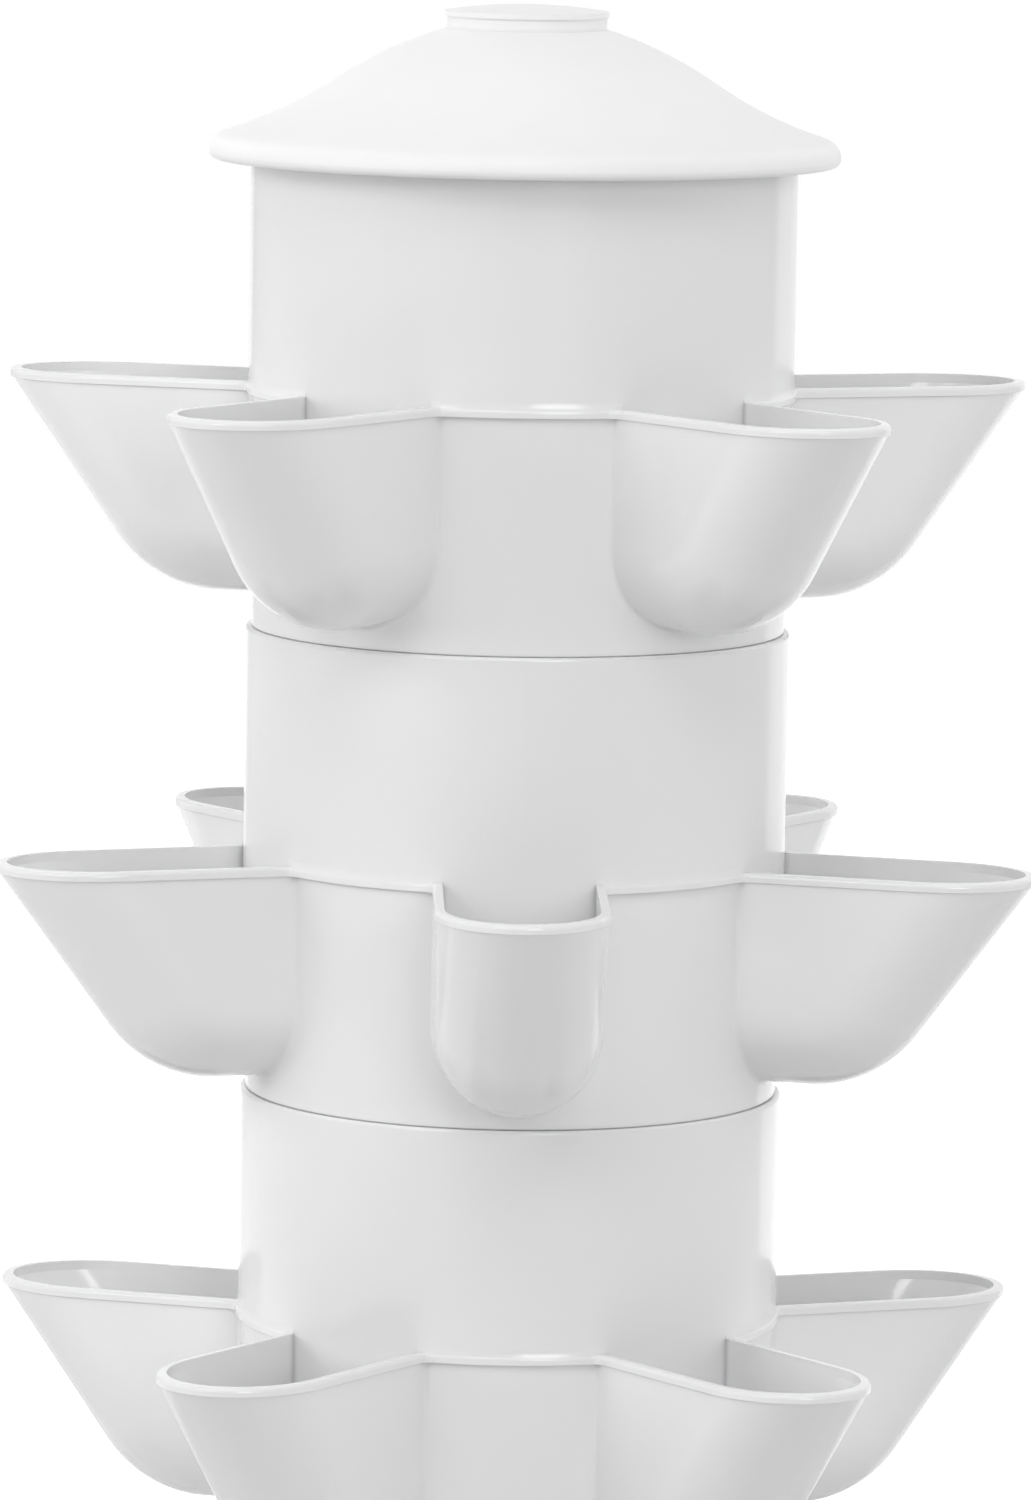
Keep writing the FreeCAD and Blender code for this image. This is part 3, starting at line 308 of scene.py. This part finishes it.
FINISHES = {
    "tower_white": tower_white(
        "tower_white", colour=(0.845, 0.845, 0.85), shade=(0.825, 0.825, 0.83), gloss=(0.11, 0.15)),
}
# The lid's whiter colour is painted light, standing in for its brighter lit top; the higher
# roughness is its own.
LID_WHITE_PAINTED_LIGHT = tower_white(
    "lid_white_painted_light", colour=(0.89, 0.89, 0.89), shade=(0.875, 0.875, 0.875), gloss=(0.42, 0.48))
print("tower white:", len(FINISHES["tower_white"].node_tree.nodes), "nodes")

# %% [markdown]
# ## Satin white of the tank
#
# Tank, deck and fill cap are larger mouldings in the same white, but with a spark-textured
# satin surface that hides scratches. The tank stands on the ground, so splashes dry on its
# lowest hand's width, and thin runs show where water dripped off the deck. Height above the
# floor drives the splashes, and noise drawn out along Z makes the runs.

# %% The tank's satin white
SPLASH_HEIGHT = 0.09


def height_above_floor(finish):
    surface = finish.node("ShaderNodeNewGeometry")
    parts = finish.node("ShaderNodeSeparateXYZ")
    finish.plug(surface.outputs["Position"], parts.inputs[0])
    return parts.outputs["Z"]


def add_splashes(finish):
    """Dried splashes near the floor, and thin runs all the way down."""
    low = ranged(finish, height_above_floor(finish), span=(0, SPLASH_HEIGHT), result=(1, 0))
    spots = ranged(finish, noise(finish, scale=38, detail=6), span=(0.45, 0.65))
    splash = times(finish, low, spots)
    tint(finish, times(finish, splash, 0.4), colour=(0.56, 0.53, 0.47))
    streaks = noise(finish, scale=45, detail=3, stretch=(1, 1, 0.05))
    runs = ranged(finish, streaks, span=(0.62, 0.75))
    tint(finish, times(finish, runs, 0.12), colour=(0.66, 0.65, 0.6))
    roughen(finish, times(finish, splash, 0.2))


def tank_white():
    finish = moulded(
        "tank_white", colour=(0.80, 0.80, 0.80), shade=(0.775, 0.775, 0.77), gloss=(0.34, 0.42),
        patch=6)
    add_splashes(finish)
    add_wear(finish, width=0.002, colour=(0.74, 0.74, 0.73), amount=0.5, gloss_change=0.1)
    add_dust(finish, colour=(0.70, 0.68, 0.63), amount=0.18)
    relief(finish, noise(finish, scale=10, detail=1), depth=0.0008, strength=0.3)
    relief(finish, noise(finish, scale=1100, detail=2), depth=0.0001, strength=0.6)
    return finish.use()


FINISHES["tank_white"] = tank_white()
print("tank white:", len(FINISHES["tank_white"].node_tree.nodes), "nodes")

# %% [markdown]
# ## Grey discs and white pipe
#
# The drip discs and the root screen are matt grey mouldings that are wet all season, so pale
# lime marks dry on them in blotches. The riser is extruded pipe: the die leaves fine lines that
# run its whole length. The same noise makes both, once cut off hard and once stretched along Z.

# %% The discs' grey and the pipe's white
def disc_grey():
    finish = moulded(
        "disc_grey", colour=(0.36, 0.37, 0.38), shade=(0.32, 0.33, 0.34), gloss=(0.48, 0.58),
        patch=14)
    blotches = noise(finish, scale=85, detail=6)
    lime = ranged(finish, blotches, span=(0.55, 0.68), result=(0, 0.5))
    tint(finish, lime, colour=(0.58, 0.57, 0.53))
    add_wear(finish, width=0.0008, colour=(0.46, 0.47, 0.48), amount=0.7, gloss_change=-0.1)
    relief(finish, lime, depth=0.0001, strength=0.5)
    relief(finish, noise(finish, scale=1400, detail=2), depth=0.00012, strength=0.6)
    return finish.use()


def pipe_white():
    finish = moulded(
        "pipe_white", colour=(0.74, 0.74, 0.72), shade=(0.70, 0.70, 0.68), gloss=(0.38, 0.46),
        patch=12)
    lines = noise(finish, scale=900, detail=2, stretch=(1, 1, 0.01))
    darker = ranged(finish, lines, span=(0.4, 0.7), result=(0, 0.25))
    tint(finish, darker, colour=(0.64, 0.64, 0.61))
    relief(finish, lines, depth=0.00008, strength=0.6)
    add_wear(finish, width=0.0006, colour=(0.8, 0.8, 0.79), amount=0.6, gloss_change=0.1)
    return finish.use()


FINISHES["disc_grey"] = disc_grey()
FINISHES["pipe_white"] = pipe_white()
print("made so far:", ", ".join(FINISHES))

# %% [markdown]
# ## Black pump, rubber and ceramic
#
# The pump's case is black plastic from a spark-eroded mould, which is dull and slightly grainy,
# with edges that rub shiny and a little grey. The feet, the seal and the grommet are rubber,
# which blooms: a thin grey haze comes out in clouds. The shaft is ground ceramic with fine rings.

# %% The pump's black, the rubber and the ceramic
def pump_black():
    finish = moulded(
        "pump_black", colour=(0.018, 0.018, 0.02), shade=(0.026, 0.026, 0.029), gloss=(0.46, 0.58),
        patch=22)
    add_wear(finish, width=0.0012, colour=(0.07, 0.07, 0.075), amount=0.8, gloss_change=-0.15)
    add_dust(finish, colour=(0.16, 0.15, 0.13), amount=0.3)
    relief(finish, noise(finish, scale=1500, detail=3), depth=0.00018, strength=0.8)
    return finish.use()


def black_rubber():
    finish = moulded(
        "black_rubber", colour=(0.016, 0.016, 0.016), shade=(0.024, 0.024, 0.024),
        gloss=(0.62, 0.74), patch=40)
    clouds = noise(finish, scale=120, detail=5)
    bloom = ranged(finish, clouds, span=(0.48, 0.72), result=(0, 0.35))
    tint(finish, bloom, colour=(0.09, 0.09, 0.088))
    relief(finish, noise(finish, scale=2200, detail=2), depth=0.00008, strength=0.7)
    return finish.use()


def ceramic():
    finish = moulded(
        "ceramic", colour=(0.74, 0.73, 0.69), shade=(0.70, 0.69, 0.65), gloss=(0.2, 0.28),
        patch=60)
    rings = noise(finish, scale=2500, detail=2, stretch=(0.02, 1, 0.02))
    relief(finish, rings, depth=0.00002, strength=0.5)
    return finish.use()


FINISHES["pump_black"] = pump_black()
FINISHES["black_rubber"] = black_rubber()
FINISHES["ceramic"] = ceramic()
print("made so far:", ", ".join(FINISHES))

# %% [markdown]
# ## Tap, float and stem
#
# The tap's body and the bush are dark grey nylon filled with short glass fibres, which leaves
# faint swirls. Its lever and the float's knob are green so that a hand finds them. The float is
# rigid foam, pressed from beads that still show as cells, and the stem is drawn steel wire.

# %% The tap's grey and the signal green
def tap_grey():
    finish = moulded(
        "tap_grey", colour=(0.125, 0.13, 0.135), shade=(0.16, 0.165, 0.17), gloss=(0.4, 0.5),
        patch=70)
    fibres = noise(finish, scale=260, detail=6, stretch=(1, 0.35, 1))
    swirls = ranged(finish, fibres, span=(0.45, 0.7), result=(0, 0.5))
    tint(finish, swirls, colour=(0.22, 0.225, 0.23))
    add_wear(finish, width=0.0008, colour=(0.27, 0.27, 0.28), amount=0.6, gloss_change=-0.1)
    relief(finish, noise(finish, scale=1300, detail=3), depth=0.0001, strength=0.6)
    return finish.use()


def signal_green():
    finish = moulded(
        "signal_green", colour=(0.028, 0.2, 0.055), shade=(0.036, 0.24, 0.07), gloss=(0.2, 0.3),
        patch=55)
    add_wear(finish, width=0.0009, colour=(0.14, 0.33, 0.17), amount=0.8, gloss_change=0.2)
    relief(finish, noise(finish, scale=90, detail=1), depth=0.0002, strength=0.3)
    relief(finish, noise(finish, scale=1600, detail=2), depth=0.00004, strength=0.4)
    return finish.use()


FINISHES["tap_grey"] = tap_grey()
FINISHES["signal_green"] = signal_green()
print("made so far:", ", ".join(FINISHES))

# %% The float's beads and the drawn steel
def float_foam():
    finish = moulded(
        "float_foam", colour=(0.74, 0.72, 0.65), shade=(0.68, 0.66, 0.59), gloss=(0.7, 0.85),
        patch=50)
    beads = finish.node("ShaderNodeTexVoronoi", Scale=330.0, feature="DISTANCE_TO_EDGE")
    finish.plug(finish.place, beads.inputs["Vector"])
    seams = ranged(finish, beads.outputs["Distance"], span=(0, 0.09), result=(1, 0))
    inside = ranged(finish, beads.outputs["Distance"], span=(0, 0.09))
    tint(finish, seams, colour=(0.55, 0.53, 0.47))
    relief(finish, inside, depth=0.0003, strength=0.9)
    return finish.use()


def stem_steel():
    finish = moulded(
        "stem_steel", colour=(0.60, 0.60, 0.59), shade=(0.54, 0.54, 0.53), gloss=(0.22, 0.3),
        patch=90)
    finish.shader.inputs["Metallic"].default_value = 1.0
    finish.shader.inputs["Anisotropic"].default_value = 0.4
    lines = noise(finish, scale=2600, detail=2, stretch=(1, 1, 0.01))
    relief(finish, lines, depth=0.00003, strength=0.6)
    return finish.use()


FINISHES["float_foam"] = float_foam()
FINISHES["stem_steel"] = stem_steel()
print("all finishes:", ", ".join(FINISHES))

# %% [markdown]
# ## A finish for each piece
#
# On the real object each piece is moulded, cut or drawn from one material, and the frame's record
# says which. Finishes could be given piece by piece, but a loop over the record misses none. Only
# the lid and its cap differ from the record's white, by the duller finish made above, whose
# whiter colour is painted light.

# %% Give each node its finish
slot_of = {part["node"]: part["material_slot"] for part in frame["record"]["subparts"]}
for name, node in frame["nodes"].items():
    node.data.materials.clear()
    node.data.materials.append(LID_WHITE_PAINTED_LIGHT if name.startswith("lid") else FINISHES[slot_of[name]])
print("dressed", len(frame["nodes"]), "nodes")

# %% [markdown]
# ## The lid's rolled lip
#
# The lid is turned in one piece: a hat that swings out in an S, rolls over a full round lip, and
# carries a ring below that drops into the top drum. In the picture its top runs over the lip
# without a line, so the lip must be rounder than the construction has it. A bevel on the frame's
# mesh can't do that, because that mesh stays as it is. A section spun round the axis can, and
# arcs joined at the same slope leave no crease for the light to catch.

# %% Arcs and a lathe
LATHE_STEPS = 192
SHARP_EDGE = math.radians(32)


def arc(start, end, radius, steps):
    """Points from start to end, turning left round a centre, or right where radius is negative."""
    (x0, y0), (x1, y1) = start, end
    half = math.dist(start, end) / 2
    away = math.copysign(math.sqrt(max(radius * radius - half * half, 0)), radius)
    centre_x = (x0 + x1) / 2 - (y1 - y0) / (2 * half) * away
    centre_y = (y0 + y1) / 2 + (x1 - x0) / (2 * half) * away
    first = math.atan2(y0 - centre_y, x0 - centre_x)
    sweep = math.copysign(2 * math.asin(min(half / abs(radius), 1)), radius)
    points = []
    for step in range(steps + 1):
        angle = first + sweep * step / steps
        x = centre_x + abs(radius) * math.cos(angle)
        y = centre_y + abs(radius) * math.sin(angle)
        points.append((x, y))
    return points


def turned(name, section):
    """Spin a closed section of (radius, height) points round the axis."""
    points = []
    for step in range(LATHE_STEPS):
        angle = 2 * math.pi * step / LATHE_STEPS
        points += [(r * math.cos(angle), r * math.sin(angle), z) for r, z in section]
    count = len(section)
    faces = []
    for step in range(LATHE_STEPS):
        here, there = step * count, (step + 1) % LATHE_STEPS * count
        for corner in range(count):
            after = (corner + 1) % count
            faces.append((here + corner, there + corner, there + after, here + after))
    mesh = bpy.data.meshes.new(name)
    mesh.from_pydata(points, [], faces)
    mesh.shade_smooth()
    mesh.set_sharp_from_angle(angle=SHARP_EDGE)
    piece = bpy.data.objects.new(name, mesh)
    bpy.context.collection.objects.link(piece)
    return piece


# %% Draw the lid's section
lid_low, lid_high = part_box("lid")
LID_EDGE = lid_high[0]
LID_WALL = 0.0026
LIP_WALL = 0.0035
LIP_TOP_ROUND = 0.007
LIP_FOOT_ROUND = 0.0029
LIP_UPRIGHT = 0.0029
BRIM_SLOPE = math.radians(17)
NECK = 0.0292
NECK_RISE = 0.0024
DRUM_EDGE = 0.1
RING_OUTSIDE = 0.0967
RING_WALL = 0.003
RING_TAPER = 0.0003
RING_DEPTH = 0.012
LID_RISE = lid_high[2] - lid_low[2] - RING_DEPTH - NECK_RISE


def lip_and_top():
    """The lip's outside, and the S from its shoulder up to the neck."""
    shoulder = LID_EDGE - LIP_TOP_ROUND * (1 - math.sin(BRIM_SLOPE))
    shoulder_rise = LIP_UPRIGHT + LIP_TOP_ROUND * math.cos(BRIM_SLOPE)
    run, climb = shoulder - NECK, LID_RISE - shoulder_rise
    lean = climb * math.cos(BRIM_SLOPE) - run * math.sin(BRIM_SLOPE)
    curve = (run * run + climb * climb) / lean / 4
    middle = ((shoulder + NECK) / 2, (shoulder_rise + LID_RISE) / 2)
    foot = (LID_EDGE - LIP_FOOT_ROUND, 0)
    lip = arc(foot, (LID_EDGE, LIP_FOOT_ROUND), LIP_FOOT_ROUND, steps=6)
    lip += arc((LID_EDGE, LIP_UPRIGHT), (shoulder, shoulder_rise), LIP_TOP_ROUND, steps=8)
    flare = arc((shoulder, shoulder_rise), middle, -curve, steps=16)
    dome = arc(middle, (NECK, LID_RISE), curve, steps=16)
    return lip, flare + dome


def lid_section():
    """The lid's half section, with height 0 at the edge of the drum that it stands on."""
    lip, top = lip_and_top()
    bore = NECK - LID_WALL
    neck_top = LID_RISE + NECK_RISE
    neck = [(NECK, neck_top), (bore, neck_top), (bore, LID_RISE - LID_WALL)]
    below = [(r, z - LID_WALL) for r, z in reversed(top)]
    ring_bore = RING_OUTSIDE - RING_WALL
    brim_end = top[0][0] - LID_WALL
    inner = [point for point in below if point[0] < ring_bore - LID_WALL / 2]
    outer = [point for point in below if DRUM_EDGE + LID_WALL / 2 < point[0] < brim_end]
    slope = math.tan(BRIM_SLOPE)
    ceiling_in = inner[-1][1] - (ring_bore - inner[-1][0]) * slope
    ceiling_out = outer[0][1] + (outer[0][0] - DRUM_EDGE) * slope
    ring_foot = RING_OUTSIDE - RING_TAPER
    ring = [(ring_bore, ceiling_in), (ring_bore, -RING_DEPTH), (ring_foot, -RING_DEPTH)]
    seat = [(RING_OUTSIDE, 0), (DRUM_EDGE, 0), (DRUM_EDGE, ceiling_out)]
    lip_bore = LID_EDGE - LIP_WALL
    lip_inside = [(lip_bore, LIP_UPRIGHT), (lip_bore, 0)]
    return lip + top[1:] + neck + inner + ring + seat + outer + lip_inside


print("the lid rises %.1f mm above the drum's edge" % (LID_RISE * 1000))

# %% Turn the lid
seat_height = lid_low[2] + RING_DEPTH
lid_shell = turned("lid_shell", [(r, z + seat_height) for r, z in lid_section()])
lid_shell.data.materials.append(LID_WHITE_PAINTED_LIGHT)
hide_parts("lid")
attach(lid_shell, "lid")
print("lid section:", len(lid_section()), "points, edge radius", round(LID_EDGE, 4))

# %% [markdown]
# ## A tent with white paper behind
#
# The picture is a cut-out on pure white, taken between soft cloth walls with white paper behind.
# Polished plastic gives that away: near the right edge of each drum runs an upright bright band,
# where the wall of the drum mirrors the paper, and it stops at a sharp line where the cloth
# begins. A sky that is equally white all round would lose the band. So reflections see full
# white only within the width of the paper, and a dimmer cloth elsewhere, which is brighter at
# the left than at the right. The camera sees white everywhere, so that the background is white.

# %% Where the white paper stands
PAPER_AIM = math.radians(165)
PAPER_HALF = math.radians(32)
PAPER_EDGE = 0.01
CLOTH_LEVEL = 0.55
CLOTH_TILT = (-0.25, 0, 0)


class Light:
    """Nodes for light: what a ray sees depends on the kind of ray and on where it goes."""

    def __init__(self, tree):
        self.tree = tree

    def node(self, kind, **settings):
        node = self.tree.nodes.new(kind)
        for key, value in settings.items():
            setattr(node, key, value)
        return node

    def join(self, kind, operation, first, second):
        """A node that works out one sum of two sockets, numbers or vectors."""
        node = self.node(kind, operation=operation)
        for socket, value in zip(node.inputs, (first, second)):
            if isinstance(value, bpy.types.NodeSocket):
                self.tree.links.new(value, socket)
            else:
                socket.default_value = value
        return node

    def most(self, first, second):
        return self.join("ShaderNodeMath", "MAXIMUM", first, second).outputs[0]

    def seen_directly(self):
        """1 for what the eye, a reflection or a see-through piece looks at, 0 for light on walls."""
        ray = self.node("ShaderNodeLightPath").outputs
        eye_or_mirror = self.most(ray["Is Camera Ray"], ray["Is Glossy Ray"])
        return self.most(eye_or_mirror, ray["Is Transmission Ray"])

    def sloped(self, way, slope, start):
        """A level that is start in the middle and changes by slope along each direction."""
        along = self.join("ShaderNodeVectorMath", "DOT_PRODUCT", way, slope).outputs["Value"]
        return self.join("ShaderNodeMath", "ADD", along, start).outputs[0]

    def white(self, way):
        """1 to the eye. In a reflection, 1 where the way leads to the paper, dimmer at the cloth."""
        flat = self.join("ShaderNodeVectorMath", "MULTIPLY", way, (1, 1, 0)).outputs[0]
        level = self.join("ShaderNodeVectorMath", "NORMALIZE", flat, flat).outputs[0]
        paper = (math.sin(PAPER_AIM), -math.cos(PAPER_AIM), 0)
        edge = self.node("ShaderNodeMapRange")
        edge.inputs["From Min"].default_value = math.cos(PAPER_HALF) - PAPER_EDGE
        edge.inputs["From Max"].default_value = math.cos(PAPER_HALF) + PAPER_EDGE
        self.tree.links.new(self.sloped(level, paper, 0), edge.inputs["Value"])
        self.tree.links.new(self.sloped(level, CLOTH_TILT, CLOTH_LEVEL), edge.inputs["To Min"])
        to_eye = self.node("ShaderNodeLightPath").outputs["Is Camera Ray"]
        return self.most(edge.outputs["Result"], to_eye)


print("paper: %.0f degrees wide, cloth level %.2f" % (math.degrees(2 * PAPER_HALF), CLOTH_LEVEL))

# %% [markdown]
# ## A floor that fades into the background
#
# The tower stands on a plain pale sheet that keeps its shadow. A floor lit by lamps alone ends in
# a grey line where the background starts. So the sheet also glows a little for the eye and for
# reflections, half as much under the tower, where its shadow has to show, and white farther out.

# %% Make the floor
FLOOR_HALF = 6.0
GLOW_START, GLOW_END = 0.9, 2.4
GLOW_NEAR, GLOW_FAR = 0.5, 1.0


def plain_floor():
    mesh = bpy.data.meshes.new("floor")
    half = FLOOR_HALF
    corners = [(-half, -half, 0), (half, -half, 0), (half, half, 0), (-half, half, 0)]
    mesh.from_pydata(corners, [], [(0, 1, 2, 3)])
    floor = bpy.data.objects.new("floor", mesh)
    bpy.context.collection.objects.link(floor)
    paper = moulded(
        "floor_paper", colour=(0.62, 0.62, 0.62), shade=(0.60, 0.60, 0.60), gloss=(0.85, 0.95),
        patch=2)
    light = Light(paper.tree)
    away = paper.node("ShaderNodeVectorMath", operation="LENGTH")
    paper.plug(paper.place, away.inputs[0])
    fade = ranged(
        paper, away.outputs["Value"], span=(GLOW_START, GLOW_END), result=(GLOW_NEAR, GLOW_FAR))
    glow = times(paper, light.seen_directly(), light.white(paper.place))
    paper.plug(times(paper, glow, fade), paper.shader.inputs["Emission Strength"])
    paper.shader.inputs["Emission Color"].default_value = (1, 1, 1, 1)
    mesh.materials.append(paper.use())
    return floor


floor = plain_floor()
print("floor:", tuple(floor.dimensions))

# %% [markdown]
# ## The light inside the tent
#
# A cloth tent sends soft light from all sides, so no edge of the tower throws a hard shadow. One
# even sky would make it look flat, so the sky here is brighter at the right and at the back, and
# eight soft lamps stand for lit stretches of cloth. Their watts come from fitting the picture's
# levels at some sixty spots. Lamps at the sides and behind would show as stripes in the polished
# drums, where the picture has none, so reflections don't see them.

# %% Light the tent
SKY_LEVEL = 0.25
SKY_TILT = (0.15, 0.15, -0.05)


def tent_world():
    """A sky whose strength is SKY_LEVEL plus SKY_TILT along each direction."""
    world = bpy.data.worlds.new("tent")
    bpy.context.scene.world = world
    world.use_nodes = True
    light = Light(world.node_tree)
    light.tree.nodes.clear()
    link = light.tree.links.new
    way = light.node("ShaderNodeTexCoord").outputs["Generated"]
    sky = light.node("ShaderNodeBackground")
    link(light.sloped(way, SKY_TILT, SKY_LEVEL), sky.inputs["Strength"])
    tent = light.node("ShaderNodeBackground")
    link(light.white(way), tent.inputs["Strength"])
    for background in (sky, tent):
        background.inputs["Color"].default_value = (1, 1, 1, 1)
    chooser = light.node("ShaderNodeMixShader")
    link(light.seen_directly(), chooser.inputs[0])
    link(sky.outputs[0], chooser.inputs[1])
    link(tent.outputs[0], chooser.inputs[2])
    link(chooser.outputs[0], light.node("ShaderNodeOutputWorld").inputs["Surface"])


tent_world()
print("sky level %.2f, tilt %s" % (SKY_LEVEL, SKY_TILT))

# %% Hang the soft lamps
TOWER_MIDDLE = (0, 0, 0.6)
IN_MIRRORS = ("key_left", "front", "roof", "roof_front")
# Each lamp's place, the point it faces, its size and its watts.
LAMPS = {
    "key_left": ((-1.6, -2.0, 2.0), TOWER_MIDDLE, (1.0, 1.0), 12),
    "side_left": ((-2.2, -0.4, 1.2), TOWER_MIDDLE, (1.4, 1.4), 22),
    "front": ((0.7, -2.8, 1.3), TOWER_MIDDLE, (1.0, 1.0), 18),
    "roof": ((0, 0, 2.8), (0, 0, 0), (3.0, 3.0), 16),
    "roof_front": ((0, -1.6, 2.4), TOWER_MIDDLE, (1.6, 1.2), 12),
    "wall_right": ((2.0, 0.1, 1.2), (0, 0.1, 1.2), (3.5, 2.4), 21),
    "rear_left": ((-1.6, 1.8, 1.4), TOWER_MIDDLE, (1.2, 1.2), 20),
    "rear_right": ((1.6, 1.8, 1.4), TOWER_MIDDLE, (1.2, 1.2), 6),
}


def soft_lamp(name, place, aim, size, watts):
    data = bpy.data.lights.new(name, "AREA")
    data.shape = "RECTANGLE"
    data.size, data.size_y = size
    data.energy = watts
    lamp = bpy.data.objects.new(name, data)
    lamp.location = place
    towards = Vector(aim) - Vector(place)
    lamp.rotation_euler = towards.to_track_quat("-Z", "Y").to_euler()
    lamp.visible_camera = False
    lamp.visible_glossy = name in IN_MIRRORS
    bpy.context.collection.objects.link(lamp)


for name, (place, aim, size, watts) in LAMPS.items():
    soft_lamp(name, place, aim, size, watts)
print("lamps:", ", ".join(LAMPS))

# %% [markdown]
# ## True colours
#
# Blender's usual view softens bright tones as film does, which would turn the white plastic
# grey. The Standard view shows each colour as it is written.

# %% Show the colours as they are written
bpy.context.scene.view_settings.view_transform = "Standard"
